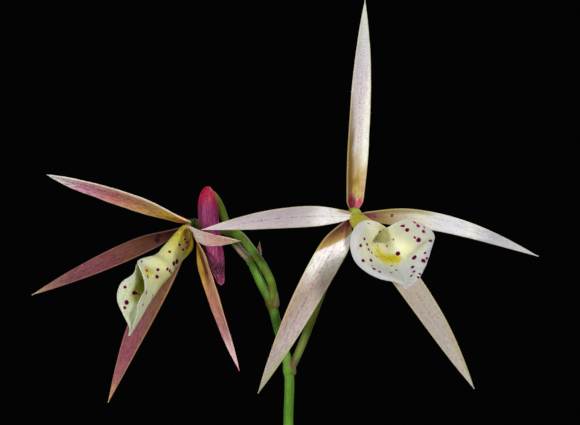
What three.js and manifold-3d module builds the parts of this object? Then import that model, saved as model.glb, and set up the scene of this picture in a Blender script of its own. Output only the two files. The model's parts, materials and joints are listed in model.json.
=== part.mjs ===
// A potted orchid in flower: a spidery brassolaeliocattleya with two star-shaped flowers and a bud
// on one stem, growing from a row of slim canes in a bark-filled clay pot.
// Millimetres, +Z up, front towards -Y, origin at the centre of the pot's flat base.
import * as THREE from "three";
import { mergeVertices } from "three/addons/utils/BufferGeometryUtils.js";
import Module from "manifold-3d";

const wasm = await Module();
wasm.setup();

// Driving sizes of the pot and its filling.
const POT_HEIGHT = 108;
const POT_BASE_RADIUS = 42;
const POT_TOP_RADIUS = 57;
const RIM_RADIUS = 61;
const RIM_HEIGHT = 24;
const POT_WALL = 5;
const POT_FLOOR = 7;
const DRAIN_RADIUS = 4.5;
const DRAIN_CIRCLE = 22;
const DRAIN_COUNT = 4;
const POT_SEGMENTS = 36;
const BARK_TOP = 90;
const CHIP_RINGS = [[0, 1], [14, 5], [27, 10], [38, 14], [46, 18]];
const CHIP_SIZE = [18, 12, 9];
const GAP = 0.4;

// Driving sizes of the plant.
const RHIZOME_RADIUS = 4;
const RHIZOME_Z = BARK_TOP + 5;
const CANE_RADIUS = 5;
const ROOT_RADIUS = 1.3;
const STEM_RADIUS = 1.55;
const PEDICEL_RADIUS = 1.1;
const LEAF_THICKNESS = 1.6;
const LEAF_SEAT = 0.75;
const TEPAL_THICKNESS = 0.75;
const LIP_THICKNESS = 0.65;
const CAP_RADIUS = 2.1;
const TWIST_END = 0.3;
const SEED = 4256;

const COLOURS = {
  clay: 0xb4643c,
  bark: 0x5c3a22,
  rhizome: 0x77704a,
  cane: 0x7d9442,
  leaf: 0x4f7a2b,
  stem: 0x5c892a,
  bud: 0xa0325c,
  tepalPale: 0xd3c8bb,
  tepalPink: 0x9a6764,
  lip: 0xdadcc4,
  column: 0xa59e38,
};

const vec = (x, y, z) => new THREE.Vector3(x, y, z);
const radians = THREE.MathUtils.degToRad;

// A small seeded random number generator, from 0 to 1.
function randomFrom(seed) {
  let state = seed;
  return () => {
    state = (state + 0x6d2b79f5) | 0;
    let mixed = Math.imul(state ^ (state >>> 15), 1 | state);
    mixed = (mixed + Math.imul(mixed ^ (mixed >>> 7), 61 | mixed)) ^ mixed;
    return ((mixed ^ (mixed >>> 14)) >>> 0) / 4294967296;
  };
}

// A geometry from plain points and triangle indices.
function geometryOf(points, triangles) {
  const flat = new Float32Array(points.flatMap((p) => [p.x, p.y, p.z]));
  return new THREE.BufferGeometry()
    .setAttribute("position", new THREE.BufferAttribute(flat, 3))
    .setIndex(triangles);
}

// A closed geometry as a manifold solid.
function solidOf(geometry) {
  const bare = new THREE.BufferGeometry()
    .setAttribute("position", geometry.getAttribute("position").clone())
    .setIndex(geometry.index ? geometry.index.clone() : null);
  const merged = mergeVertices(bare, 1e-4);
  return new wasm.Manifold(
    new wasm.Mesh({
      numProp: 3,
      vertProperties: merged.attributes.position.array,
      triVerts: new Uint32Array(merged.index.array),
    }),
  );
}

// A manifold solid as a geometry.
function geometryFrom(solid) {
  const mesh = solid.getMesh();
  const flat = new Float32Array(mesh.numVert * 3);
  for (let i = 0; i < mesh.numVert; i += 1)
    flat.set(mesh.vertProperties.subarray(i * mesh.numProp, i * mesh.numProp + 3), i * 3);
  return new THREE.BufferGeometry()
    .setAttribute("position", new THREE.BufferAttribute(flat, 3))
    .setIndex(new THREE.BufferAttribute(mesh.triVerts, 1));
}

const fuse = (solids) => solids.reduce((whole, next) => whole.add(next));

// The parts are collected here, each a named mesh with its own material.
const plant = new THREE.Group();
function place(name, geometry, colour, roughness = 0.6) {
  const mesh = new THREE.Mesh(
    geometry,
    new THREE.MeshStandardMaterial({ color: colour, roughness, metalness: 0 }),
  );
  mesh.name = name;
  plant.add(mesh);
}

// A closed thin body from a grid of points, given thickness along its own normals.
function thicken(grid, thickness) {
  const rows = grid.length;
  const columns = grid[0].length;
  const at = (i, j) =>
    grid[Math.min(Math.max(i, 0), rows - 1)][Math.min(Math.max(j, 0), columns - 1)];
  const points = [];
  for (const side of [0.5, -0.5])
    for (let i = 0; i < rows; i += 1)
      for (let j = 0; j < columns; j += 1) {
        const along = at(i + 1, j).clone().sub(at(i - 1, j));
        const across = at(i, j + 1).clone().sub(at(i, j - 1));
        const normal = across.cross(along).normalize();
        points.push(at(i, j).clone().addScaledVector(normal, side * thickness));
      }
  const top = (i, j) => i * columns + j;
  const under = (i, j) => rows * columns + i * columns + j;
  const triangles = [];
  for (let i = 0; i < rows - 1; i += 1)
    for (let j = 0; j < columns - 1; j += 1) {
      triangles.push(top(i, j), top(i, j + 1), top(i + 1, j + 1));
      triangles.push(top(i, j), top(i + 1, j + 1), top(i + 1, j));
      triangles.push(under(i, j), under(i + 1, j + 1), under(i, j + 1));
      triangles.push(under(i, j), under(i + 1, j), under(i + 1, j + 1));
    }
  const rim = [];
  for (let j = 0; j < columns - 1; j += 1) rim.push([0, j, 0, j + 1]);
  for (let i = 0; i < rows - 1; i += 1) rim.push([i, columns - 1, i + 1, columns - 1]);
  for (let j = columns - 1; j > 0; j -= 1) rim.push([rows - 1, j, rows - 1, j - 1]);
  for (let i = rows - 1; i > 0; i -= 1) rim.push([i, 0, i - 1, 0]);
  for (const [i, j, k, l] of rim) {
    triangles.push(top(i, j), under(i, j), under(k, l));
    triangles.push(top(i, j), under(k, l), top(k, l));
  }
  return geometryOf(points, triangles);
}

// How wide a blade is at u from 0 at its base to 1 at its tip, as a share of its widest.
function bladeShare(u, { base, peak, taper }) {
  if (u < peak) return base + (1 - base) * (1 - (1 - u / peak) ** 2);
  return 1 - ((u - peak) / (1 - peak)) ** taper;
}

// A petal, sepal or leaf from start to tip, bowed by `bow` in its middle. Near its base it faces
// `baseFace`, and it twists to `face` further out. `cup` lifts the edges towards that side and
// `fold` creases it along its midrib, as shares of the half width.
function bladeGrid(shape, rows, columns) {
  const { start, tip, bow, baseFace, face, halfWidth, cup = 0, fold = 0 } = shape;
  const spine = (u) => start.clone().lerp(tip, u).addScaledVector(bow, Math.sin(Math.PI * u));
  const grid = [];
  for (let i = 0; i <= rows; i += 1) {
    const u = i / rows;
    const tangent = spine(u + 0.01).sub(spine(u - 0.01)).normalize();
    const facing = baseFace.clone().lerp(face, THREE.MathUtils.smoothstep(u, 0, TWIST_END));
    const side = tangent.clone().cross(facing).normalize();
    const normal = side.clone().cross(tangent);
    const half = Math.max(halfWidth * bladeShare(u, shape), 0.35);
    const row = [];
    for (let j = 0; j <= columns; j += 1) {
      const v = (2 * j) / columns - 1;
      const lift = half * (cup * v * v + fold * Math.abs(v));
      row.push(spine(u).addScaledVector(side, half * v).addScaledVector(normal, lift));
    }
    grid.push(row);
  }
  return grid;
}

// A closed round body along a curve, with its radius given as a function of 0 to 1.
function roundBody(curve, radiusAt, rings, sides) {
  const frames = curve.computeFrenetFrames(rings, false);
  const points = [];
  const triangles = [];
  for (let i = 0; i <= rings; i += 1) {
    const centre = curve.getPointAt(i / rings);
    const radius = radiusAt(i / rings);
    for (let j = 0; j < sides; j += 1) {
      const angle = (2 * Math.PI * j) / sides;
      points.push(
        centre.clone()
          .addScaledVector(frames.normals[i], radius * Math.cos(angle))
          .addScaledVector(frames.binormals[i], radius * Math.sin(angle)),
      );
    }
  }
  const at = (i, j) => i * sides + (j % sides);
  for (let i = 0; i < rings; i += 1)
    for (let j = 0; j < sides; j += 1)
      triangles.push(at(i, j), at(i, j + 1), at(i + 1, j + 1), at(i, j), at(i + 1, j + 1), at(i + 1, j));
  const first = points.push(curve.getPointAt(0)) - 1;
  const last = points.push(curve.getPointAt(1)) - 1;
  for (let j = 0; j < sides; j += 1) {
    triangles.push(first, at(0, j + 1), at(0, j));
    triangles.push(last, at(rings, j), at(rings, j + 1));
  }
  return geometryOf(points, triangles);
}

const curveThrough = (...points) => new THREE.CatmullRomCurve3(points, false, "centripetal");

// A value read off a short list of [position, value, ...], with a smooth curve through its entries.
function smoothed(stations, at, index = 1) {
  let k = 0;
  while (k < stations.length - 2 && at > stations[k + 1][0]) k += 1;
  const slope = (i) => {
    const before = stations[Math.max(i - 1, 0)];
    const after = stations[Math.min(i + 1, stations.length - 1)];
    return (after[index] - before[index]) / (after[0] - before[0]);
  };
  const span = stations[k + 1][0] - stations[k][0];
  const t = (at - stations[k][0]) / span;
  return (
    stations[k][index] * (1 + 2 * t) * (1 - t) ** 2 +
    stations[k + 1][index] * t * t * (3 - 2 * t) +
    span * t * (1 - t) * (slope(k) * (1 - t) - slope(k + 1) * t)
  );
}

// The inside radius of the pot at a height, which the bark follows.
function potInside(z) {
  const wall = POT_BASE_RADIUS + ((POT_TOP_RADIUS - POT_BASE_RADIUS) * z) / POT_HEIGHT;
  return wall - POT_WALL;
}

function makePot() {
  const rimBottom = POT_HEIGHT - RIM_HEIGHT;
  const outside = (z) => potInside(z) + POT_WALL;
  const profile = [
    [0, 0],
    [POT_BASE_RADIUS - 1.5, 0],
    [POT_BASE_RADIUS, 1.5],
    [outside(rimBottom), rimBottom],
    [RIM_RADIUS - 0.8, rimBottom + 0.6],
    [RIM_RADIUS, rimBottom + 2.5],
    [RIM_RADIUS + 1.2, POT_HEIGHT - 2],
    [RIM_RADIUS, POT_HEIGHT],
    [potInside(POT_HEIGHT) + 1.5, POT_HEIGHT],
    [potInside(POT_HEIGHT), POT_HEIGHT - 1.5],
    [potInside(POT_FLOOR), POT_FLOOR],
    [0, POT_FLOOR],
  ].map(([radius, z]) => new THREE.Vector2(radius, z));
  let pot = solidOf(new THREE.LatheGeometry(profile, POT_SEGMENTS).rotateX(Math.PI / 2));
  for (let i = 0; i < DRAIN_COUNT; i += 1) {
    const angle = (Math.PI * (2 * i + 1)) / DRAIN_COUNT;
    const hole = new THREE.CylinderGeometry(DRAIN_RADIUS, DRAIN_RADIUS, 3 * POT_FLOOR, 12)
      .rotateX(Math.PI / 2)
      .translate(DRAIN_CIRCLE * Math.cos(angle), DRAIN_CIRCLE * Math.sin(angle), POT_FLOOR / 2);
    pot = pot.subtract(solidOf(hole));
  }
  place("pot", geometryFrom(pot), COLOURS.clay, 0.85);
}

// One chip of bark: a box with its corners pulled about, lying at a slant.
function barkChip(random, x, y) {
  const box = new THREE.BoxGeometry(...CHIP_SIZE.map((s) => s * (0.8 + 0.45 * random())));
  const merged = mergeVertices(box.deleteAttribute("normal").deleteAttribute("uv"));
  const corners = merged.attributes.position;
  for (let i = 0; i < corners.count; i += 1)
    corners.setXYZ(
      i,
      corners.getX(i) * (0.8 + 0.35 * random()),
      corners.getY(i) * (0.7 + 0.5 * random()),
      corners.getZ(i) * (0.6 + 0.5 * random()),
    );
  const tilt = () => (random() - 0.5) * 0.8;
  return merged
    .rotateX(tilt())
    .rotateY(tilt())
    .rotateZ(random() * Math.PI)
    .translate(x, y, BARK_TOP + 2.5 * (random() - 0.5));
}

// The bark mix fills the pot, and its top is a layer of loose chips.
function makeBark(holes) {
  const random = randomFrom(SEED);
  const filling = (top) => {
    const profile = [
      [0, POT_FLOOR + GAP],
      [potInside(POT_FLOOR) - GAP, POT_FLOOR + GAP],
      [potInside(top) - GAP, top],
      [0, top],
    ].map(([radius, z]) => new THREE.Vector2(radius, z));
    return solidOf(new THREE.LatheGeometry(profile, POT_SEGMENTS).rotateX(Math.PI / 2));
  };
  const chips = [];
  for (const [ring, count] of CHIP_RINGS)
    for (let i = 0; i < count; i += 1) {
      const angle = (2 * Math.PI * (i + 0.4 * random())) / count;
      const radius = ring + 2 * (random() - 0.5);
      chips.push(solidOf(barkChip(random, radius * Math.cos(angle), radius * Math.sin(angle))));
    }
  let bark = fuse([filling(BARK_TOP), ...chips]).intersect(filling(POT_HEIGHT));
  for (const hole of holes) bark = bark.subtract(hole);
  const whole = bark.decompose().sort((a, b) => b.volume() - a.volume())[0];
  place("bark_mix", geometryFrom(whole), COLOURS.bark, 0.95);
}

// Where each cane stands on the rhizome, how tall it is and where its top leans to.
const CANES = [
  { foot: [-33, 20], height: 56, lean: [-9, 6] },
  { foot: [-20, 11], height: 62, lean: [-3, 9] },
  { foot: [-7, 3], height: 70, lean: [-8, -3] },
  { foot: [6, -5], height: 82, lean: [-1, 2] },
  { foot: [19, -13], height: 40, lean: [6, -5] },
];
const FLOWERING_CANE = CANES[3];
const caneFoot = ({ foot }) => vec(foot[0], foot[1], RHIZOME_Z);
const caneTop = ({ foot, height, lean }) =>
  vec(foot[0] + lean[0], foot[1] + lean[1], RHIZOME_Z + height);

// Roots leave the rhizome, arch over the bark and dive into it: [start x, y, end x, y].
const ROOTS = [
  [-33, 20, -44, 4],
  [-26, 15, -16, 38],
  [-14, 7, -24, -16],
  [-2, 0, 12, 24],
  [6, -5, -6, -32],
  [14, -10, 38, 8],
  [19, -13, 24, -38],
];
const ROOT_ARCH = 5;
const ROOT_DEPTH = 14;
const ROOT_HOLE = ROOT_RADIUS + GAP + 0.2;

function rhizomeCurve() {
  const first = caneFoot(CANES[0]);
  const last = caneFoot(CANES[CANES.length - 1]);
  return curveThrough(
    vec(first.x - 8, first.y + 5, first.z - 1),
    ...CANES.map((cane) => caneFoot(cane)),
    vec(last.x + 7, last.y - 4, last.z + 1),
  );
}

// The rhizome's radius, grown by `extra` for a hole round it, narrows towards both ends.
const rhizomeRadius = (extra) => (t) => {
  const fromEnd = Math.min(1, 0.12 + 3.2 * Math.min(t, 1 - t));
  return (RHIZOME_RADIUS + extra) * (0.55 + 0.45 * Math.sin((Math.PI * fromEnd) / 2));
};

// A root's curve, from the rhizome over the bark and down into it.
function rootCurve([x, y, endX, endY]) {
  const start = vec(x, y, RHIZOME_Z);
  const end = vec(endX, endY, RHIZOME_Z);
  return curveThrough(
    start,
    start.clone().lerp(end, 0.35).setZ(RHIZOME_Z + ROOT_ARCH + 1),
    start.clone().lerp(end, 0.75).setZ(RHIZOME_Z + ROOT_ARCH),
    end.clone().setZ(RHIZOME_Z + 1),
    end.clone().setZ(BARK_TOP - ROOT_DEPTH),
  );
}

function makeRhizome() {
  const solids = [solidOf(roundBody(rhizomeCurve(), rhizomeRadius(0), 18, 8))];
  for (const root of ROOTS) solids.push(solidOf(roundBody(rootCurve(root), () => ROOT_RADIUS, 9, 5)));
  place("rhizome_with_roots", geometryFrom(fuse(solids)), COLOURS.rhizome, 0.8);
}

// Plain holes that the rhizome, canes and roots stand in.
function barkHoles() {
  const grown = rhizomeRadius(GAP + 0.3);
  const holes = [solidOf(roundBody(rhizomeCurve(), grown, 18, 8))];
  for (const end of [0, 1]) {
    const ball = new THREE.IcosahedronGeometry(grown(end) + 0.5, 1);
    holes.push(solidOf(ball.translate(...rhizomeCurve().getPointAt(end).toArray())));
  }
  for (const cane of CANES) {
    const foot = caneFoot(cane);
    const hole = new THREE.CylinderGeometry(CANE_RADIUS + 1.5, CANE_RADIUS + 0.9, 24, 10)
      .rotateX(Math.PI / 2)
      .translate(foot.x, foot.y, foot.z + 10);
    holes.push(solidOf(hole));
  }
  for (const root of ROOTS) {
    const curve = rootCurve(root);
    const end = curve.getPointAt(1);
    const plug = new THREE.CylinderGeometry(ROOT_HOLE, ROOT_HOLE, 60, 6)
      .rotateX(Math.PI / 2)
      .translate(end.x, end.y, end.z - GAP + 30);
    holes.push(solidOf(plug), solidOf(roundBody(curve, () => ROOT_HOLE, 9, 5)));
  }
  return holes;
}

// A cane is a slim jointed bulb: a thin foot, a swollen middle and a narrow neck, with raised
// rings where its papery sheaths were joined.
const CANE_PROFILE = [
  [0, 0.62], [0.06, 0.72], [0.22, 0.86], [0.24, 0.98], [0.5, 1.0],
  [0.52, 1.1], [0.76, 0.9], [0.78, 0.98], [0.96, 0.66], [1, 0.6],
];
function makeCanes() {
  const saddle = fuse([
    solidOf(roundBody(rhizomeCurve(), rhizomeRadius(GAP), 18, 8)),
    ...ROOTS.map((root) => solidOf(roundBody(rootCurve(root), () => ROOT_RADIUS + GAP, 9, 5))),
  ]);
  CANES.forEach((cane, i) => {
    const foot = caneFoot(cane);
    const top = caneTop(cane);
    const middle = foot.clone().lerp(top, 0.5).add(vec(-cane.lean[0] * 0.2, -cane.lean[1] * 0.2, 0));
    const curve = curveThrough(foot, middle, top);
    const radiusAt = (t) => CANE_RADIUS * smoothed(CANE_PROFILE, t);
    const body = solidOf(roundBody(curve, radiusAt, 15, 8)).subtract(saddle);
    const whole = body.decompose().sort((a, b) => b.volume() - a.volume())[0];
    place(`cane_${i + 1}`, geometryFrom(whole), COLOURS.cane);
  });
}

// One thick channelled leaf stands on each cane's neck: its tip, and how it bows.
const LEAVES = [
  { tip: [-112, 34, 214], bow: [-4, 2, 24], face: [0.3, -0.2, 1], halfWidth: 11.5 },
  { tip: [-44, 92, 232], bow: [3, -6, 22], face: [0.2, -0.5, 1], halfWidth: 12 },
  { tip: [-74, -40, 268], bow: [-12, -6, 12], face: [0.9, 0.5, 0.6], halfWidth: 12.5 },
  { tip: [60, 46, 280], bow: [10, 9, 16], face: [-0.7, -0.8, 0.5], halfWidth: 12.5 },
  { tip: [56, -50, 196], bow: [5, -4, 10], face: [-0.6, 0.6, 1], halfWidth: 8 },
];
const STEM_SIDE = vec(-2.2, -1.8, 0);
function makeLeaves() {
  LEAVES.forEach((leaf, i) => {
    const top = caneTop(CANES[i]).add(vec(0, 0, LEAF_SEAT));
    const shape = {
      start: CANES[i] === FLOWERING_CANE ? top.addScaledVector(STEM_SIDE, -0.9) : top,
      tip: vec(...leaf.tip),
      bow: vec(...leaf.bow),
      baseFace: vec(...leaf.face),
      face: vec(...leaf.face),
      halfWidth: leaf.halfWidth,
      base: 0.28,
      peak: 0.55,
      taper: 3.2,
      cup: 0.1,
      fold: 0.34,
    };
    const grid = bladeGrid(shape, 16, 4);
    place(`leaf_${i + 1}`, thicken(grid, LEAF_THICKNESS), COLOURS.leaf, 0.4);
  });
}

// The flower stem rises from the neck of the fourth cane, beside its leaf, and bends left at
// the top. Each flower and the bud hang on a stalk of their own from a node with a small bract.
const STEM_BASE = caneTop(FLOWERING_CANE).add(STEM_SIDE).add(vec(0, 0, GAP));
const NODE_2 = vec(-0.4, 0, 327);
const NODE_1 = vec(-5.4, 0, 346);
const NODE_BUD = vec(-11, 1, 358);
const FLOWER_1 = vec(-28.7, 5.5, 368.7);
const FLOWER_2 = vec(18, -12, 371.4);
const BUD_TOP = vec(-23.2, 1.5, 377.7);

const FORWARD_1 = vec(-0.609, -0.624, -0.491).normalize();
const UP_1 = vec(-0.354, -0.339, 0.872).normalize();
const FORWARD_2 = vec(0.34, -0.898, -0.28).normalize();
const UP_2 = vec(0.1, -0.26, 0.96).normalize();

function bract(foot, direction, length, radius) {
  const tip = foot.clone().addScaledVector(direction, length);
  const curve = curveThrough(foot, foot.clone().lerp(tip, 0.5), tip);
  const radiusAt = (t) => radius * (1 - 0.85 * t ** 1.5);
  return solidOf(roundBody(curve, radiusAt, 3, 6));
}

function makeFlowerStem() {
  const stem = curveThrough(
    STEM_BASE,
    vec(STEM_BASE.x - 0.5, STEM_BASE.y + 0.5, 205),
    vec(1.2, -2, 250),
    vec(-0.2, -0.5, 290),
    vec(-0.5, 0, 312),
    NODE_2,
    vec(-3.2, 0, 338),
    NODE_1,
    vec(-8.6, 0.6, 352.4),
    NODE_BUD,
  );
  const stalk1 = curveThrough(
    NODE_1,
    vec(-5, -0.8, 350.5),
    vec(-7.6, -1.3, 356.6),
    vec(-11, -0.8, 361.4),
    vec(-14.8, 1.4, 365.6),
    vec(-19.6, 4.6, 367.2),
    vec(-24.5, 6.4, 367.9),
    FLOWER_1.clone().addScaledVector(FORWARD_1, -0.8),
  );
  const stalk2 = curveThrough(
    NODE_2,
    vec(1.3, 1.2, 329.6),
    vec(3.8, 3.2, 335),
    vec(8, 6, 346),
    vec(12.4, 4.6, 358),
    vec(15.6, -2.6, 366.4),
    FLOWER_2.clone().addScaledVector(FORWARD_2, -0.8),
  );
  const stalk3 = curveThrough(
    NODE_BUD,
    vec(-14.6, 3.4, 361.6),
    vec(-17.6, 5.6, 365.6),
    vec(-18.9, 6.2, 370.2),
    vec(-20.3, 5.2, 374),
    vec(-21.9, 3.2, 376.6),
    BUD_TOP,
  );
  const solids = [
    solidOf(roundBody(stem, (t) => STEM_RADIUS * (1.1 - 0.28 * t), 28, 7)),
    solidOf(roundBody(stalk1, (t) => PEDICEL_RADIUS * (1 + 0.25 * t), 18, 6)),
    solidOf(roundBody(stalk2, (t) => PEDICEL_RADIUS * (1 + 0.25 * t), 16, 6)),
    solidOf(roundBody(stalk3, (t) => PEDICEL_RADIUS * (0.95 + 0.1 * t), 14, 6)),
    solidOf(new THREE.IcosahedronGeometry(CAP_RADIUS, 1).translate(...FLOWER_1.toArray())),
    solidOf(new THREE.IcosahedronGeometry(CAP_RADIUS, 1).translate(...FLOWER_2.toArray())),
    solidOf(new THREE.IcosahedronGeometry(1.8, 0).translate(...NODE_BUD.toArray())),
    bract(vec(-5, -0.2, 345.2), vec(0.12, -0.1, 1).normalize(), 5, 1.75),
    bract(vec(-0.1, 0.2, 325.8), vec(0.32, 0, 1).normalize(), 3.4, 1.7),
    bract(vec(-9.8, 0.8, 357.2), vec(0.12, 0.1, 1).normalize(), 6.4, 1.4),
    bract(STEM_BASE.clone().add(vec(0, 0, 0.1)), vec(-0.06, -0.04, 1).normalize(), 16, 2.3),
  ];
  place("flower_stem", geometryFrom(fuse(solids)), COLOURS.stem, 0.5);
}

// The closed bud hangs from the bend of its stalk, fattest near its stalk end.
const BUD_PROFILE = [
  [0, 0.22], [0.05, 0.62], [0.13, 0.9], [0.28, 1], [0.55, 0.93], [0.75, 0.8], [0.9, 0.55], [1, 0.22],
];
const BUD_RADIUS = 2.9;
function makeBud() {
  const curve = curveThrough(
    vec(-23.6, -1, 379.4),
    vec(-23.4, -1.2, 372.5),
    vec(-22.7, -1.2, 366),
    vec(-21.2, -1.2, 359),
    vec(-19.6, -1, 351.2),
  );
  const body = roundBody(curve, (t) => BUD_RADIUS * smoothed(BUD_PROFILE, t), 16, 10);
  const stalkEnd = new THREE.IcosahedronGeometry(PEDICEL_RADIUS + 0.75, 1).translate(...BUD_TOP.toArray());
  place("bud", geometryFrom(solidOf(body).subtract(solidOf(stalkEnd))), COLOURS.bud);
}

// Each flower's five tepals. Tips, bows and faces are in the part's own frame.
const TEPALS = {
  flower_1: {
    dorsal_sepal: {
      tip: [-66.3, -27.5, 382.3], bow: [-1, 0, 1.3], face: [0, -0.6, -0.8], halfWidth: 3.2,
      base: 0.75, peak: 0.37, taper: 2.8, cup: 0.25,
    },
    right_petal: {
      tip: [-77, 25.5, 347.4], bow: [-0.2, 4, 0.2], face: [-0.2, -1, 0.1], halfWidth: 2.65,
      base: 0.21, peak: 0.36, taper: 1.9, cup: 0.15,
    },
    left_petal: {
      tip: [-13.3, -40.5, 364.4], bow: [-2.6, -2, -0.9], face: [-0.9, -0.3, -0.5], halfWidth: 2.4,
      base: 0.3, peak: 0.4, taper: 2, cup: 0.2,
    },
    right_sepal: {
      tip: [-54.6, 29.5, 315], bow: [-1.8, 5, -0.4], face: [-0.3, -1, 0], halfWidth: 3.9,
      base: 0.24, peak: 0.33, taper: 1.6, cup: 0.15,
    },
    left_sepal: {
      tip: [-13.9, -24.5, 328.6], bow: [-0.4, -2, 0.5], face: [-0.7, -0.7, 0], halfWidth: 2.25,
      base: 0.42, peak: 0.25, taper: 2.9, cup: 0.2,
    },
  },
  flower_2: {
    dorsal_sepal: {
      tip: [20.4, -30, 429.7], bow: [0.1, 2, -0.3], face: [0.34, -1, 0], halfWidth: 3.06,
      base: 0.8, peak: 0.29, taper: 2.7, cup: 0.2,
    },
    right_petal: {
      tip: [-23.6, -40, 367.4], bow: [0.8, 1, 1.2], face: [0.3, -1, -0.2], halfWidth: 2.9,
      base: 0.5, peak: 0.33, taper: 2.1, cup: 0.15,
    },
    left_petal: {
      tip: [70.8, -2, 359.5], bow: [-1.8, -1, 3.5], face: [0, -1, -0.1], halfWidth: 2.55,
      base: 0.5, peak: 0.32, taper: 2.3, cup: 0.15,
    },
    right_sepal: {
      tip: [-9, -10, 321.1], bow: [1.4, -2, 4.2], face: [0.2, -1, 0], halfWidth: 4.05,
      base: 0.33, peak: 0.2, taper: 2.8, cup: 0.15,
    },
    left_sepal: {
      tip: [53.4, 8, 320.9], bow: [0.7, -1, 1.8], face: [0.1, -1, 0], halfWidth: 3.55,
      base: 0.3, peak: 0.35, taper: 2.3, cup: 0.15,
    },
  },
};
// How far forward of the flower's centre, and how far out from it, each kind of tepal starts.
const PETAL_SEAT = { forward: 0.8, out: CAP_RADIUS + GAP };
const SEPAL_SEAT = { forward: -0.7, out: CAP_RADIUS + GAP + 0.35 };

function makeTepals(name, forward) {
  const { centre, axis } = lipFrame(name);
  for (const [piece, tepal] of Object.entries(TEPALS[name])) {
    const tip = vec(...tepal.tip);
    const seat = piece.endsWith("petal") ? PETAL_SEAT : SEPAL_SEAT;
    const hub = centre.clone().addScaledVector(forward, seat.forward);
    const aim = tip.clone().sub(hub).addScaledVector(vec(...tepal.bow), 3).normalize();
    const shape = {
      ...tepal,
      start: hub.addScaledVector(aim, seat.out),
      tip,
      bow: vec(...tepal.bow),
      baseFace: axis,
      face: vec(...tepal.face),
    };
    const colour = name === "flower_1" ? COLOURS.tepalPink : COLOURS.tepalPale;
    place(`${name}_${piece}`, thicken(bladeGrid(shape, 16, 4), TEPAL_THICKNESS), colour);
  }
}

// The lip is one sheet. At each station along its midline, for its left half and then for its
// right half: the half's width, measured round the sheet, the angle that the sheet has turned up
// by half way to its edge and at its edge, and how far its edge is swept back. It starts as a
// tube round the column, widens to a funnel and opens into a heart-shaped limb, which is still
// folded on the younger flower.
const LIP_STATIONS = {
  flower_1: [
    [0, 6.2, 88, 163, 0, 6.2, 88, 163, 0],
    [0.12, 10.21, 82, 199, 0, 9.51, 87, 152, 1.3],
    [0.25, 9.86, 88, 182, 0, 10.38, 91, 159, 0],
    [0.34, 11, 90, 168, -0.1, 10.49, 89, 169, 0.3],
    [0.42, 13.2, 93, 152, 0, 12.39, 86, 163, 1.4],
    [0.52, 12.87, 98, 132, 0.9, 12.91, 102, 115, 1.6],
    [0.6, 10.62, 107, 84, 0.8, 12.15, 83, 61, 0.8],
    [0.7, 10.03, 85, 55, 0.6, 10.69, 63, 34, 1],
    [0.8, 8.27, 74, 58, 0.3, 8.16, 62, 44, 0.4],
    [0.87, 4.7, 63, 53, 0.2, 5.44, 55, 46, 0],
    [0.94, 1.24, 57, 47, 0.1, 2.48, 51, 43, -0.4],
    [1, 0.4, 40, 40, 0, 0.4, 40, 40, 0],
  ],
  flower_2: [
    [0, 6.2, 88, 163, 0, 6.2, 88, 163, 0],
    [0.12, 8, 90, 167, 0, 8, 90, 167, 0],
    [0.25, 9.22, 89, 163, 0, 9.21, 89, 164, 0.1],
    [0.34, 11.52, 93, 151, -0.2, 11.46, 92, 152, 0.5],
    [0.42, 12.88, 91, 137, -0.3, 12.6, 91, 143, 0.4],
    [0.48, 14.31, 68, 55, 2.6, 14.2, 75, 52, 2.3],
    [0.54, 14.77, 45, 11, 2, 14.96, 48, 13, 1.5],
    [0.62, 12.31, 21, -19, 0.3, 13.12, 49, -6, 0.8],
    [0.75, 7.56, 9, -32, -0.8, 8.6, 38, -21, 0.5],
    [0.86, 1.79, 7, -22, -0.7, 4.87, 37, -17, -0.1],
    [1, 0.4, 10, 0, 0, 0.4, 10, 0, 0],
  ],
};
// How far the lip's midline lies below the column's line and to the side of it.
const LIP_KEEL = {
  flower_1: [
    [0, 2.2, 0], [0.12, 2.56, -1.76], [0.25, 2.29, -0.27], [0.4, 1.09, -0.5],
    [0.55, 0.73, 0.45], [0.7, -0.23, 0.12], [0.85, -0.29, -0.04], [1, 0, 0],
  ],
  flower_2: [
    [0, 2.2, 0], [0.12, 2.2, -0.03], [0.25, 2.2, -0.49], [0.4, 3.04, -1],
    [0.55, 1.9, -2.12], [0.7, 1.54, -1.89], [0.85, 0.99, -1.83], [1, 0, 0],
  ],
};

// Half the cross-section of the lip at one station: [sideways, up] from its midline.
function lipSection(half, middleTurn, edgeTurn, columns) {
  const points = [[0, 0]];
  const steps = 8 * columns;
  let side = 0;
  let up = 0;
  for (let k = 1; k <= steps; k += 1) {
    const t = (k - 0.5) / steps;
    const turn = radians(middleTurn) * 4 * t * (1 - t) + radians(edgeTurn) * t * (2 * t - 1);
    side += (half / steps) * Math.cos(turn);
    up += (half / steps) * Math.sin(turn);
    if (k % 8 === 0) points.push([side, up]);
  }
  return points;
}

const LIPS = {
  flower_1: { centre: FLOWER_1, tip: vec(-45.1, -10.5, 337.3), up: UP_1 },
  flower_2: { centre: FLOWER_2, tip: vec(30.9, -42, 351.7), up: UP_2 },
};
const LIP_START = 3.2;

// The lip's own directions: along it, up towards the column's side, and across.
function lipFrame(name) {
  const { centre, tip, up } = LIPS[name];
  const axis = tip.clone().sub(centre).normalize();
  const side = axis.clone().cross(up).normalize();
  return { centre, tip, axis, side, rise: side.clone().cross(axis).normalize() };
}

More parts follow.
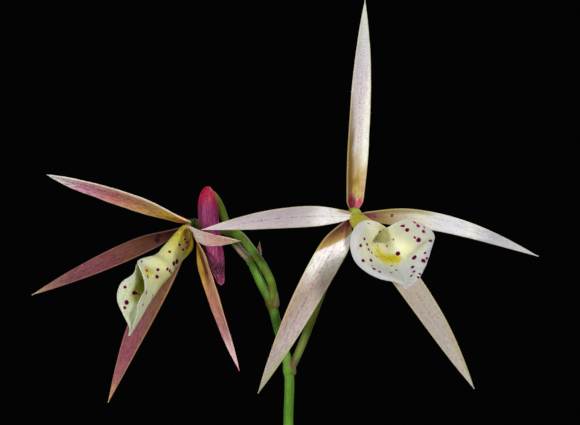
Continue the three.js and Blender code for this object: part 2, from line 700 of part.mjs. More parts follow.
function lipGrid(name, rows, columns) {
  const { centre, tip, axis, side, rise } = lipFrame(name);
  const stations = LIP_STATIONS[name];
  const length = tip.distanceTo(centre) - LIP_START;
  const grid = [];
  for (let i = 0; i <= rows; i += 1) {
    const s = i / rows;
    const keel = centre.clone()
      .addScaledVector(axis, LIP_START + length * s)
      .addScaledVector(rise, -smoothed(LIP_KEEL[name], s, 1))
      .addScaledVector(side, smoothed(LIP_KEEL[name], s, 2));
    const halves = [1, 5].map((first) => {
      const [half, middleTurn, edgeTurn, sweep] = [0, 1, 2, 3].map((k) => smoothed(stations, s, first + k));
      return { section: lipSection(half, middleTurn, edgeTurn, columns), sweep };
    });
    const row = [];
    for (let j = -columns; j <= columns; j += 1) {
      const { section, sweep } = halves[j > 0 ? 0 : 1];
      const [sideways, upwards] = section[Math.abs(j)];
      row.push(
        keel.clone()
          .addScaledVector(side, Math.sign(j) * sideways)
          .addScaledVector(rise, upwards)
          .addScaledVector(axis, -sweep * (j / columns) ** 2),
      );
    }
    grid.push(row);
  }
  return grid;
}

// The column is a short club, wider at its tip, that the lip's tube wraps.
const COLUMN_LENGTH = 9;
function makeLipAndColumn(name) {
  place(`${name}_lip`, thicken(lipGrid(name, 24, 6), LIP_THICKNESS), COLOURS.lip, 0.5);
  const { centre, axis, rise } = lipFrame(name);
  const foot = centre.clone().addScaledVector(axis, CAP_RADIUS + GAP);
  const end = foot.clone().addScaledVector(axis, COLUMN_LENGTH).addScaledVector(rise, 0.6);
  const curve = curveThrough(foot, foot.clone().lerp(end, 0.5), end);
  const radiusAt = (t) => 0.9 + 0.6 * t * t;
  place(`${name}_column`, roundBody(curve, radiusAt, 6, 8), COLOURS.column, 0.5);
}

makePot();
makeBark(barkHoles());
makeRhizome();
makeCanes();
makeLeaves();
makeFlowerStem();
makeBud();
makeTepals("flower_1", FORWARD_1);
makeTepals("flower_2", FORWARD_2);
makeLipAndColumn("flower_1");
makeLipAndColumn("flower_2");

export default plant;
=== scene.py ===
"""Dresses the potted orchid: fine petals, spotted lips, bark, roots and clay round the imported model.

Sizes are in millimetres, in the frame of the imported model, and become metres in the meshes.
"""

import json
import logging
import math
from dataclasses import dataclass, field, replace
from enum import Enum
from pathlib import Path as FilePath
from typing import Any, Iterable, Sequence

import bmesh
import bpy
import numpy as np
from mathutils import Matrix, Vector, noise

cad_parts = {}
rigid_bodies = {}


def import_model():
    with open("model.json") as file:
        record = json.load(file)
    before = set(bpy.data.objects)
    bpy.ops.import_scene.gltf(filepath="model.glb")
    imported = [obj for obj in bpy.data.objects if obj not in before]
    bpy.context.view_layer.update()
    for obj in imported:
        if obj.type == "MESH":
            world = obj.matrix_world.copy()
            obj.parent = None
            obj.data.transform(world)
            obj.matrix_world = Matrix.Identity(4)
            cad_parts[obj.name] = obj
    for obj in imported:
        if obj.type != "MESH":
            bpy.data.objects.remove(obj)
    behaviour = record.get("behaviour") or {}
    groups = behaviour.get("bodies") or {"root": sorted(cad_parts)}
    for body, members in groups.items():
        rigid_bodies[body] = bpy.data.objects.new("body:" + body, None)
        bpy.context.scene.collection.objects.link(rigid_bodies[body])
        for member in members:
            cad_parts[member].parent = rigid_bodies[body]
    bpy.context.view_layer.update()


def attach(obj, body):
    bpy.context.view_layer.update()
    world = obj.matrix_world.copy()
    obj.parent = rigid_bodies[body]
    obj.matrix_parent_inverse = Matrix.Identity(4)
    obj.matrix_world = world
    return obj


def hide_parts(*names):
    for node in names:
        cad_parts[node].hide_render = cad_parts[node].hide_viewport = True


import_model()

LOG = logging.getLogger("orchid")
MM = 0.001
SEED = 4256

Point = tuple[float, float, float]
Colour = tuple[float, float, float]
Array = np.ndarray
Mesh = bpy.types.Mesh
Material = bpy.types.Material


def tint(red: int, green: int, blue: int) -> Colour:
    """A colour as seen on screen, 0 to 255 a channel, as the linear values that shaders use."""

    def linear(channel: int) -> float:
        """One channel in linear light."""
        share = channel / 255
        return share / 12.92 if share <= 0.04045 else ((share + 0.055) / 1.055) ** 2.4

    return linear(red), linear(green), linear(blue)


def shades(*rows: tuple[float, int, int, int]) -> tuple[tuple[float, Colour], ...]:
    """Colour stops from rows of a place and the colour there as seen on screen."""
    return tuple((place, tint(*colour)) for place, *colour in rows)


def vec(*numbers: float) -> Array:
    """A point or direction as an array."""
    return np.array(numbers, float)


def unit(direction: Array) -> Array:
    """The direction, or each direction of a list, at length 1."""
    return direction / np.linalg.norm(direction, axis=-1, keepdims=True)


def smoothstep(value: Array | float, low: float, high: float) -> Array:
    """0 below low, 1 above high and a smooth rise between them."""
    share = np.clip((np.asarray(value, float) - low) / (high - low), 0, 1)
    return share * share * (3 - 2 * share)


def smoothed(stations: Sequence[Sequence[float]], at: Array, index: int = 1) -> Array:
    """Reads a short list of [position, value, ...] with a smooth curve through its entries.

    Args:
        stations: Rows of a position and the values there.
        at: Positions to read.
        index: Which value of a row is read.

    Returns:
        The value at each position.
    """
    table = np.array(stations, float)
    places, values = table[:, 0], table[:, index]
    before = np.maximum(np.arange(len(places)) - 1, 0)
    after = np.minimum(np.arange(len(places)) + 1, len(places) - 1)
    slopes = (values[after] - values[before]) / (places[after] - places[before])
    k = np.clip(np.searchsorted(places, at, side="left") - 1, 0, len(places) - 2)
    span = places[k + 1] - places[k]
    t = (at - places[k]) / span
    return (
        values[k] * (1 + 2 * t) * (1 - t) ** 2
        + values[k + 1] * t * t * (3 - 2 * t)
        + span * t * (1 - t) * (slopes[k] * (1 - t) - slopes[k + 1] * t)
    )


def curve_through(points: Sequence[Sequence[float]], count: int) -> Array:
    """A smooth centripetal curve through points, as evenly spaced points along it.

    Args:
        points: The points that it passes through.
        count: How many points to give back.

    Returns:
        An array of count points.
    """
    knots = [vec(*point) for point in points]
    knots = [2 * knots[0] - knots[1], *knots, 2 * knots[-1] - knots[-2]]
    fine = []
    t = np.linspace(0, 1, 60, endpoint=False)[:, None]
    for p0, p1, p2, p3 in zip(knots, knots[1:], knots[2:], knots[3:]):
        d0, d1, d2 = (math.sqrt(np.linalg.norm(b - a)) for a, b in ((p0, p1), (p1, p2), (p2, p3)))
        m1 = ((p1 - p0) / d0 - (p2 - p0) / (d0 + d1) + (p2 - p1) / d1) * d1
        m2 = ((p2 - p1) / d1 - (p3 - p1) / (d1 + d2) + (p3 - p2) / d2) * d1
        cubic = 2 * p1 - 2 * p2 + m1 + m2
        square = -3 * p1 + 3 * p2 - 2 * m1 - m2
        fine.append(p1 + m1 * t + square * t**2 + cubic * t**3)
    line = np.concatenate([*fine, [knots[-2]]])
    lengths = np.concatenate([[0], np.cumsum(np.linalg.norm(np.diff(line, axis=0), axis=1))])
    even = np.linspace(0, lengths[-1], count)
    return np.stack([np.interp(even, lengths, line[:, axis]) for axis in range(3)], axis=1)


def ripple(at: Array, seed: int, waves: int = 5, first: float = 1) -> Array:
    """A smooth seeded wobble between about -1 and 1 along one coordinate."""
    draw = np.random.default_rng(seed)
    total = np.zeros_like(np.asarray(at, float))
    for order in range(waves):
        rate = first * 1.7**order
        total = total + np.sin(2 * math.pi * (rate * at + draw.random())) / 1.5**order
    return total / 2.2


def peak(value: Array, place: float | Array, width: float) -> Array:
    """A smooth bump of height 1 at one place, about this wide to each side."""
    return np.exp(-(((value - place) / width) ** 2))


def round_end(share: Array, start: float, reach: float) -> Array:
    """1 before start, and then a round fall to 0 within reach."""
    return np.sqrt(np.clip(1 - np.clip((share - start) / reach, 0, 1) ** 2, 0, 1))


def turns_of(sides: int) -> Array:
    """The angles of so many sides, evenly round."""
    return np.linspace(0, 2 * math.pi, sides, endpoint=False)


def sheet_places(rows: int, columns: int) -> list[Array]:
    """Each point's place along a sheet, 0 to 1, and across it, -1 to 1."""
    return np.meshgrid(np.linspace(0, 1, rows + 1), np.linspace(-1, 1, columns + 1), indexing="ij")


class NodeBuilder:
    """What shader trees and geometry trees share: nodes added and linked by short calls."""

    def __init__(self, tree: bpy.types.NodeTree) -> None:
        """Works on this tree."""
        self.tree = tree

    def put(self, socket: bpy.types.NodeSocket, value: Any) -> None:
        """Links an output to the socket, or sets its value."""
        if isinstance(value, bpy.types.NodeSocket):
            self.tree.links.new(value, socket)
        elif socket.type == "RGBA" and len(value) == 3:
            socket.default_value = (*value, 1.0)
        else:
            socket.default_value = value

    def node(self, kind: str, inputs: dict[str | int, Any] | None = None, **settings: Any) -> Any:
        """Adds a node.

        Args:
            kind: Its type name.
            inputs: Values or outputs for its inputs, by name or number.
            settings: Its own properties.

        Returns:
            The node.
        """
        made = self.tree.nodes.new(kind)
        for name, value in settings.items():
            setattr(made, name, value)
        for key, value in (inputs or {}).items():
            self.put(made.inputs[key], value)
        return made

    def out(self, kind: str, inputs: dict[str | int, Any] | None = None, **settings: Any) -> Any:
        """Adds a node and gives its first output."""
        return self.node(kind, inputs, **settings).outputs[0]

    def math(self, operation: str, first: Any, second: Any = 0) -> Any:
        """One sum of two numbers or outputs."""
        return self.out("ShaderNodeMath", {0: first, 1: second}, operation=operation)

    def add(self, first: Any, second: Any) -> Any:
        """Two numbers or outputs added up."""
        return self.math("ADD", first, second)

    def times(self, *factors: Any) -> Any:
        """The product of numbers and outputs."""
        product = factors[0]
        for factor in factors[1:]:
            product = self.math("MULTIPLY", product, factor)
        return product

    def rise(self, value: Any, low: float, high: float, start: float = 0, end: float = 1) -> Any:
        """A smooth change from start to end as value goes from low to high."""
        inputs = {"Value": value, "From Min": low, "From Max": high, "To Min": start, "To Max": end}
        return self.out("ShaderNodeMapRange", inputs, interpolation_type="SMOOTHSTEP")

    def fall(self, value: Any, low: float, high: float, start: float = 1) -> Any:
        """A smooth fall from start to 0 as value goes from low to high."""
        return self.rise(value, low, high, start, 0)

    def vector(self, operation: str, first: Any, second: Any = (0, 0, 0)) -> Any:
        """The outputs of one sum of two vectors: a vector and a number."""
        return self.node("ShaderNodeVectorMath", {0: first, 1: second}, operation=operation).outputs

    def stretched(self, vector: Any, x: float, y: float, z: float = 0) -> Any:
        """The vector with each axis multiplied."""
        return self.vector("MULTIPLY", vector, (x, y, z))[0]

    def noise(self, vector: Any, scale: float = 1, detail: float = 2, rough: float = 0.5) -> Any:
        """Soft seeded noise from 0 to 1."""
        inputs = {"Vector": vector, "Scale": scale, "Detail": detail, "Roughness": rough}
        return self.out("ShaderNodeTexNoise", inputs)

    def swing(self, noise: Any, width: Any) -> Any:
        """Noise from 0 to 1 as a swing about 0, this wide in all."""
        return self.times(self.math("SUBTRACT", noise, 0.5), width)

    def separate(self, vector: Any) -> list[Any]:
        """The three numbers of a vector."""
        return list(self.node("ShaderNodeSeparateXYZ", {0: vector}).outputs)


class Brush(NodeBuilder):
    """Builds one node material, coat by coat. `colour` is what it has so far."""

    def __init__(self, name: str, colour: Any = None) -> None:
        """Starts a material of this name from its lowest colour."""
        self.material = bpy.data.materials.new(name)
        self.material.use_nodes = True
        self.material.node_tree.nodes.clear()
        super().__init__(self.material.node_tree)
        self.colour = colour

    def attribute(self, name: str, number: bool = False) -> Any:
        """A named attribute of the mesh, as a vector or a number."""
        node = self.node("ShaderNodeAttribute", attribute_name=name)
        return node.outputs["Fac" if number else "Vector"]

    def on_sheet(self) -> tuple[Any, ...]:
        """Where a point lies on its sheet: all in one, along, across, under, and in millimetres."""
        flat = self.attribute("flat")
        return (flat, *self.separate(flat), self.attribute("flat_mm"))

    def place(self) -> Any:
        """Object coordinates in millimetres."""
        return self.stretched(self.node("ShaderNodeTexCoord").outputs["Object"], 1 / MM, 1 / MM, 1 / MM)

    def streaks(self, vector: Any, x: float, y: float, z: float = 0, detail: float = 3) -> Any:
        """Noise that is stretched by its own amount along each axis."""
        return self.noise(self.stretched(vector, x, y, z), detail=detail)

    def lay(self, colour: Any, *masks: Any) -> None:
        """Lays a colour over what is there, as strongly as the product of the masks."""
        inputs = {0: self.times(*masks), 6: self.colour, 7: colour}
        self.colour = self.node("ShaderNodeMix", inputs, data_type="RGBA").outputs[2]

    def ramp(self, factor: Any, *stops: tuple[float, Colour]) -> None:
        """Starts with a colour that runs through the stops as factor goes from 0 to 1."""
        node = self.node("ShaderNodeValToRGB", {0: factor})
        elements = node.color_ramp.elements
        while len(elements) < len(stops):
            elements.new(0.5)
        for element, (position, colour) in zip(elements, stops):
            element.position = position
            element.color = (*colour, 1)
        self.colour = node.outputs["Color"]

    def cells(self, vector: Any, feature: str = "F1") -> Any:
        """The outputs of a pattern of cells, with their distance and colour."""
        return self.node("ShaderNodeTexVoronoi", {"Vector": vector, "Scale": 1.0}, feature=feature).outputs

    def freckles(self, vector: Any, density: Point, share: float, radius: float) -> Any:
        """Round seeded dots, as a mask.

        Args:
            vector: Coordinates in millimetres.
            density: How many dots there are in a millimetre of each axis.
            share: The share of places that hold a dot.
            radius: The radius of a dot, as a share of their spacing.

        Returns:
            A mask output.
        """
        cell = self.cells(self.stretched(vector, *density))
        dot = self.fall(cell["Distance"], 0.75 * radius, 1.15 * radius)
        return self.times(dot, self.math("LESS_THAN", self.separate(cell["Color"])[0], share))

    def stain_or_painted_light(self, flat: Any, drift: Any, stains_and_painted_light: Iterable["Stain"]) -> None:
        """Lays soft patches over the colour: stains of pigment and, on some sheets, painted light and painted
        shade.

        Args:
            flat: The places on the sheet: along it and across it.
            drift: Noise from 0 to 1 that makes their edges uneven.
            stains_and_painted_light: The patches, of pigment and of painted light and shade.
        """
        for stain_or_painted_light in stains_and_painted_light:
            gap = self.vector("SUBTRACT", flat, (stain_or_painted_light.along, stain_or_painted_light.across, 0))[0]
            gap = self.stretched(gap, 1 / stain_or_painted_light.reach_along, 1 / stain_or_painted_light.reach_across)
            far = self.add(self.vector("LENGTH", gap)["Value"], self.swing(drift, 0.5))
            self.lay(stain_or_painted_light.colour, self.fall(far, 0.45, 1, stain_or_painted_light.share))

    def finish(self, rough: Sequence[Any], relief: Sequence[Any], **constants: Any) -> Material:
        """Ends the material in one surface shader.

        Args:
            rough: A noise, and the roughness where it is low and where it is high.
            relief: A height of 0 to 1, how many millimetres it stands and how strongly it shows.
            constants: Other shader values, with spaces in their names written as underscores.

        Returns:
            The material.
        """
        noise, smooth, dull = rough
        height, depth, strength = relief
        bump = {"Height": height, "Distance": depth * MM, "Strength": strength}
        inputs = {
            "Base Color": self.colour,
            "Roughness": self.rise(noise, 0.3, 0.7, smooth, dull),
            "Normal": self.out("ShaderNodeBump", bump),
        }
        inputs |= {name.replace("_", " "): value for name, value in constants.items()}
        self.node("ShaderNodeOutputMaterial", {"Surface": self.out("ShaderNodeBsdfPrincipled", inputs)})
        return self.material


class GeometryTree(NodeBuilder):
    """A geometry node tree with named inputs, run on one object at a time."""

    def __init__(self, name: str) -> None:
        """Starts an empty tree with a geometry input and output."""
        group = bpy.data.node_groups.new(name, "GeometryNodeTree")
        super().__init__(group)
        for way in ("INPUT", "OUTPUT"):
            group.interface.new_socket("Geometry", in_out=way, socket_type="NodeSocketGeometry")
        self.start = group.nodes.new("NodeGroupInput")
        self.end = group.nodes.new("NodeGroupOutput")
        self.identifiers: dict[str, str] = {}

    def size(self, name: str, kind: str = "Float") -> Any:
        """Adds a named input and gives its output."""
        socket = self.tree.interface.new_socket(name, in_out="INPUT", socket_type=f"NodeSocket{kind}")
        self.identifiers[name] = socket.identifier
        return self.start.outputs[name]

    def random(self, kind: str, low: Any, high: Any, seed: Any) -> Any:
        """A seeded random value for each element."""
        node = self.node("FunctionNodeRandomValue", data_type=kind)
        values = {"Min": low, "Max": high, "Seed": seed}
        for socket in node.inputs:
            if socket.enabled and socket.name in values:
                self.put(socket, values[socket.name])
        return next(socket for socket in node.outputs if socket.enabled)

    def close(self, geometry: Any, material: Any) -> None:
        """Ends the tree: instances made real, smooth shading and the material."""
        real = self.out("GeometryNodeRealizeInstances", {"Geometry": geometry})
        smooth = self.out("GeometryNodeSetShadeSmooth", {"Geometry": real})
        dressed = self.out("GeometryNodeSetMaterial", {"Geometry": smooth, "Material": material})
        self.put(self.end.inputs["Geometry"], dressed)

    def run(self, carrier: bpy.types.Object, **values: Any) -> Mesh:
        """Runs the tree on an object.

        Args:
            carrier: The object whose geometry goes in. It is removed afterwards.
            values: Values of the named inputs, with spaces written as underscores.

        Returns:
            The result as a plain mesh.
        """
        modifier = carrier.modifiers.new(self.tree.name, "NODES")
        modifier.node_group = self.tree
        for name, value in values.items():
            modifier[self.identifiers[name.replace("_", " ")]] = value
        bpy.context.view_layer.update()
        graph = bpy.context.evaluated_depsgraph_get()
        mesh = bpy.data.meshes.new_from_object(carrier.evaluated_get(graph))
        carrier.modifiers.remove(modifier)
        bpy.data.objects.remove(carrier)
        return mesh


def link_object(name: str, mesh: Mesh) -> bpy.types.Object:
    """Puts a mesh in the scene as an object at the origin."""
    piece = bpy.data.objects.new(name, mesh)
    mesh.name = name
    bpy.context.scene.collection.objects.link(piece)
    return piece


def show(name: str, mesh: Mesh, slot: str, *nodes: str) -> bpy.types.Object:
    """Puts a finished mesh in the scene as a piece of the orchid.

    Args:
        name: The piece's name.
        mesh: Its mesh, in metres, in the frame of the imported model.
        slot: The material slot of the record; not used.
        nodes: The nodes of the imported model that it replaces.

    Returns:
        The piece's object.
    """
    piece = link_object(name, mesh)
    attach(piece, "root")
    if nodes:
        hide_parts(*nodes)
    LOG.info("%s: %d faces, for %s", name, len(mesh.polygons), ", ".join(nodes) or "detail only")
    return piece


def mesh_from(points: Array, faces: Iterable[Sequence[int]], material: Material) -> Mesh:
    """A smooth-shaded mesh from points in millimetres and faces.

    Args:
        points: An array of points.
        faces: The corners of each face, counter-clockwise seen from outside.
        material: What it is made of.

    Returns:
        The mesh, in metres.
    """
    mesh = bpy.data.meshes.new("shape")
    corners = faces.tolist() if isinstance(faces, np.ndarray) else list(faces)
    mesh.from_pydata((points.reshape(-1, 3) * MM).tolist(), [], corners)
    mesh.polygons.foreach_set("use_smooth", np.ones(len(mesh.polygons), bool))
    mesh.materials.append(material)
    mesh.update()
    return mesh


def add_attribute(mesh: Mesh, name: str, values: Array) -> None:
    """Adds a number or a vector for each point of a mesh."""
    vector = values.ndim == 2
    made = mesh.attributes.new(name, "FLOAT_VECTOR" if vector else "FLOAT", "POINT")
    made.data.foreach_set("vector" if vector else "value", values.astype(np.float32).ravel())


def mesh_of(shape: bmesh.types.BMesh, name: str) -> Mesh:
    """A finished shape as a mesh."""
    mesh = bpy.data.meshes.new(name)
    shape.to_mesh(mesh)
    shape.free()
    return mesh


def disc(name: str, radius: float, height: float, segments: int) -> Mesh:
    """A flat round sheet at a height, in metres."""
    shape = bmesh.new()
    bmesh.ops.create_circle(shape, cap_ends=True, segments=segments, radius=radius)
    bmesh.ops.triangulate(shape, faces=shape.faces[:])
    bmesh.ops.translate(shape, verts=shape.verts, vec=Vector((0, 0, height)))
    return mesh_of(shape, name)


def closed_rings(rings: int, sides: int) -> list[list[int]]:
    """The faces of a row of rings that is closed at both ends.

    Args:
        rings: How many rings there are.
        sides: How many points a ring has.

    Returns:
        The corners of each face. The two ends' middle points come after those of the rings.
    """
    at = np.arange(rings * sides).reshape(rings, sides)
    beyond = np.roll(at, -1, axis=1)
    quads = np.stack([at[:-1], beyond[:-1], beyond[1:], at[1:]], -1).reshape(-1, 4)
    foot = np.stack([np.full(sides, at.size), beyond[0], at[0]], 1)
    head = np.stack([np.full(sides, at.size + 1), at[-1], beyond[-1]], 1)
    return quads.tolist() + foot.tolist() + head.tolist()


@dataclass
class Sheet:
    """A thin closed sheet round a grid of points: a petal, a leaf, a lip or a scale.

    `rows` run along it and `columns` across it. `along` and `across` are each point's place on
    the sheet, 0 to 1 and -1 to 1, and `spread` the same in millimetres.
    """

    grid: Array
    thickness: Array
    along: Array
    across: Array
    spread: Array
    extras: dict[str, Array] = field(default_factory=dict)

    def normals(self) -> Array:
        """The grid's own normals, towards its upper face."""
        across = np.gradient(self.grid, axis=1)
        along = np.gradient(self.grid, axis=0)
        return unit(np.cross(across, along))

    def build(self, material: Material) -> Mesh:
        """The closed mesh, with its places as attributes.

        Args:
            material: What it is made of.

        Returns:
            The mesh, with the attributes flat (along, across, under), flat_mm and the extras.
        """
        rows, columns = self.grid.shape[:2]
        half = self.normals() * (self.thickness / 2)[..., None]
        points = np.concatenate([(self.grid + half).reshape(-1, 3), (self.grid - half).reshape(-1, 3)])
        top = np.arange(rows * columns).reshape(rows, columns)
        low = top + rows * columns
        quads = np.stack([top[:-1, :-1], top[:-1, 1:], top[1:, 1:], top[1:, :-1]], -1).reshape(-1, 4)
        under = np.stack([low[:-1, :-1], low[1:, :-1], low[1:, 1:], low[:-1, 1:]], -1).reshape(-1, 4)
        loop = np.concatenate([top[0, :-1], top[:-1, -1], top[-1, :0:-1], top[:0:-1, 0]])
        following = np.roll(loop, -1)
        rim = np.stack([loop, loop + rows * columns, following + rows * columns, following], -1)
        mesh = mesh_from(points, np.concatenate([quads, under, rim]), material)
        side = np.concatenate([np.zeros(rows * columns), np.ones(rows * columns)])
        places = np.stack([np.tile(self.along.ravel(), 2), np.tile(self.across.ravel(), 2), side], 1)
        spread = np.concatenate([self.spread.reshape(-1, 2)] * 2)
        add_attribute(mesh, "flat", places)
        add_attribute(mesh, "flat_mm", np.concatenate([spread, side[:, None]], 1))
        for name, values in self.extras.items():
            add_attribute(mesh, name, np.tile(values.ravel(), 2))
        return mesh


@dataclass
class Blade:
    """A petal, sepal, leaf or scale from start to tip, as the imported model's own blades are made.

    It bows by `bow` in its middle, faces `base_face` at its base and `face` further out. `cup`
    lifts its edges and `fold` creases it along its midrib, as shares of the half width. `wave`
    is how far its edges ripple and `root` how far it narrows inwards before its start.
    """

    start: Point
    tip: Point
    bow: Point
    face: Point
    half_width: float
    base_face: Point | None = None
    base: float = 0.3
    peak: float = 0.45
    taper: float = 2.0
    cup: float = 0.1
    fold: float = 0.0
    thick: float = 0.75
    edge: float = 0.22
    wave: float = 0.1
    keel: float = 0.12
    twist_end: float = 0.3
    root: float = 0.0
    rows: int = 110
    columns: int = 20
    seed: int = 1

    def share(self, along: Array) -> Array:
        """How wide it is, as a share of its widest."""
        near = self.base + (1 - self.base) * (1 - (1 - np.maximum(along, 0) / self.peak) ** 2)
        far = 1 - np.clip((along - self.peak) / (1 - self.peak), 0, 1) ** self.taper
        return np.where(along < self.peak, near, far)

    def sheet(self) -> Sheet:
        """The blade as a sheet."""
        start, tip, bow = vec(*self.start), vec(*self.tip), vec(*self.bow)
        base_face = vec(*(self.base_face or self.face))

        def spine(at: Array) -> Array:
            """Points of the midrib."""
            return start + (tip - start) * at[:, None] + bow * np.sin(math.pi * at)[:, None]

        first = -self.root / float(np.linalg.norm(tip - start))
        along = 1 - (1 - first) * (1 - np.linspace(0, 1, self.rows + 1)) ** 1.25
        across = np.linspace(-1, 1, self.columns + 1)
        across = np.sign(across) * (1 - (1 - np.abs(across)) ** 1.3)
        line = spine(along)
        tangent = unit(spine(along + 0.01) - spine(along - 0.01))
        turn = smoothstep(along, 0, self.twist_end)[:, None]
        side = unit(np.cross(tangent, base_face * (1 - turn) + vec(*self.face) * turn))
        normal = np.cross(side, tangent)
        half = np.maximum(self.half_width * self.share(along), 0.12)
        half = half * (1 if first == 0 else smoothstep(along, 2.2 * first, -0.6 * first))
        u, v = np.meshgrid(along, across, indexing="ij")
        crease = np.sqrt(v * v + 0.03) - math.sqrt(0.03)
        lift = half[:, None] * (self.cup * v * v + self.fold * crease)
        ripples = np.where(v > 0, ripple(u, self.seed, 4, 2.2), ripple(u, self.seed + 50, 4, 2.2))
        lift = lift + self.wave * ripples * np.abs(v) ** 3 * smoothstep(u, 0.05, 0.3) * (1 - u**6)
        sideways = side[:, None] * (half[:, None] * v)[..., None]
        grid = line[:, None] + sideways + normal[:, None] * lift[..., None]
        body = np.sqrt(np.clip(1 - v * v, 0, 1))
        thickness = self.edge + (self.thick - self.edge) * body + self.keel * peak(v, 0, 0.12)
        thickness = thickness * np.minimum(1, 0.35 + 6 * (1 - u)) * np.minimum(1, 0.3 + half[:, None] / 0.6)
        length = float(np.linalg.norm(np.diff(line, axis=0), axis=1).sum())
        spread = np.stack([u * length, v * half[:, None]], -1)
        return Sheet(grid, thickness, u, v, spread)


@dataclass
class Strand:
    """One path of a swept body: its points in millimetres and its radius at each."""

    points: Array
    radii: Array

    @staticmethod
    def ball(centre: Array, axis: Array, radius: float, squash: float = 1) -> "Strand":
        """A strand that sweeps out a ball, flattened along its axis by squash."""
        turns = np.linspace(0.02, math.pi - 0.02, 22)
        heights = -np.cos(turns) * radius * squash
        return Strand(centre + unit(axis) * heights[:, None], np.sin(turns) * radius)


class Sweeper:
    """Sweeps round bodies along strands, with lengthwise grooves and a fine grain."""

    def __init__(self) -> None:
        """Builds the geometry node tree once."""
        tree = GeometryTree("swept_strands")
        names = ("Grooves", "Groove Depth", "Grain Depth", "Grain Scale")
        grooves, groove_depth, grain, grain_scale = (tree.size(name) for name in names)
        sides, material = tree.size("Sides", "Int"), tree.size("Material", "Material")
        line = tree.out("GeometryNodeMeshToCurve", {"Mesh": tree.start.outputs["Geometry"]})
        girth = tree.out("GeometryNodeInputNamedAttribute", {"Name": "girth"})
        line = tree.out("GeometryNodeSetCurveRadius", {"Curve": line, "Radius": girth})
        circle = tree.out("GeometryNodeCurvePrimitiveCircle", {"Resolution": sides, "Radius": 1.0})
        marked_line, along = self.captured(tree, line)
        marked_ring, around = self.captured(tree, circle)
        inputs = {"Curve": marked_line, "Profile Curve": marked_ring, "Fill Caps": True}
        sweep = tree.node("GeometryNodeCurveToMesh", inputs)
        if "Scale" in sweep.inputs:
            tree.put(sweep.inputs["Scale"], girth)
        groove = tree.times(tree.math("COSINE", tree.times(around, grooves, 2 * math.pi)), groove_depth)
        speckle = tree.noise(tree.out("GeometryNodeInputPosition"), grain_scale, 3)
        height = tree.add(groove, tree.swing(speckle, grain))
        inputs = {0: tree.out("GeometryNodeInputNormal"), "Scale": height}
        offset = tree.out("ShaderNodeVectorMath", inputs, operation="SCALE")
        moved = tree.out("GeometryNodeSetPosition", {"Geometry": sweep.outputs[0], "Offset": offset})
        inputs = {"Geometry": moved, "Name": "along", "Value": along}
        tree.close(tree.out("GeometryNodeStoreNamedAttribute", inputs), material)
        self.tree = tree

    @staticmethod
    def captured(tree: GeometryTree, curve: Any) -> tuple[Any, Any]:
        """Keeps each point's share of its curve's length.

        Args:
            tree: The tree being built.
            curve: The curve's output.

        Returns:
            The curve that carries it, and the output that reads it later.
        """
        share = tree.node("GeometryNodeSplineParameter").outputs["Factor"]
        node = tree.node("GeometryNodeCaptureAttribute", {"Geometry": curve})
        node.capture_items.new("FLOAT", "share")
        tree.put(node.inputs[1], share)
        return node.outputs[0], node.outputs[1]

    def sweep(self, strands: Sequence[Strand], material: Material, sides: int, *sizes: float) -> Mesh:
        """Sweeps strands into one mesh.

        Args:
            strands: The paths.
            material: What they are made of.
            sides: How many sides they have.
            sizes: The number of grooves, their depth and the grain's depth in millimetres, and how
                fine the grain is.

        Returns:
            The mesh, with the attribute along.
        """
        carrier = bpy.data.meshes.new("strands")
        points = np.concatenate([strand.points for strand in strands])
        edges, first = [], 0
        for strand in strands:
            edges += [(first + k, first + k + 1) for k in range(len(strand.points) - 1)]
            first += len(strand.points)
        carrier.from_pydata((points * MM).tolist(), edges, [])
        add_attribute(carrier, "girth", np.concatenate([strand.radii for strand in strands]) * MM)
        inputs = dict(zip(("Grooves", "Groove_Depth", "Grain_Depth", "Grain_Scale"), sizes))
        for depth in ("Groove_Depth", "Grain_Depth"):
            inputs[depth] *= MM
        return self.tree.run(link_object("strands", carrier), Material=material, Sides=sides, **inputs)


def directions_along(line: Array, first_side: Array) -> tuple[Array, Array]:
    """Two directions square to a line at each of its points, turned as little as possible.

    Args:
        line: The points of the line.
        first_side: Roughly the first direction at the line's start.

    Returns:
        The first and the second direction at each point.
    """
    tangents = unit(np.gradient(line, axis=0))
    side = unit(np.cross(np.cross(tangents[0], first_side), tangents[0]))
    firsts = []
    for tangent in tangents:
        side = unit(side - tangent * np.dot(side, tangent))
        firsts.append(side)
    first = np.array(firsts)
    return first, np.cross(tangents, first)


@dataclass
class Tube:
    """A closed round body along a line, with its radius given round each ring.

    `radii` has a row for each point of the line and a column for each side.
    """

    line: Array
    radii: Array
    first_side: Array = field(default_factory=lambda: vec(1.0, 0.0, 0.0))

    def build(self, material: Material) -> Mesh:
        """The closed mesh, with the attribute flat (along, around from -1 to 1, 0)."""
        rings, sides = self.radii.shape
        first, second = directions_along(self.line, self.first_side)
        turn = turns_of(sides)
        ring = first[:, None] * np.cos(turn)[None, :, None] + second[:, None] * np.sin(turn)[None, :, None]
        points = self.line[:, None] + ring * self.radii[..., None]
        points = np.concatenate([points.reshape(-1, 3), self.line[[0, -1]]])
        mesh = mesh_from(points, closed_rings(rings, sides), material)
        places = np.zeros((len(points), 3))
        places[:, 0] = np.append(np.repeat(np.linspace(0, 1, rings), sides), [0, 1])
        places[:-2, 1] = np.tile(turn / math.pi - 1, rings)
        add_attribute(mesh, "flat", places)
        return mesh


@dataclass(frozen=True)
class Stain:
    """A soft patch on a petal, sepal or lip: some are stains of pigment, others painted light and painted
    shade.

    Its middle and its reach are shares of the sheet: along it 0 to 1 and across it -1 to 1.
    """

    along: float
    across: float
    reach_along: float
    reach_across: float
    colour: Colour
    share: float = 0.8


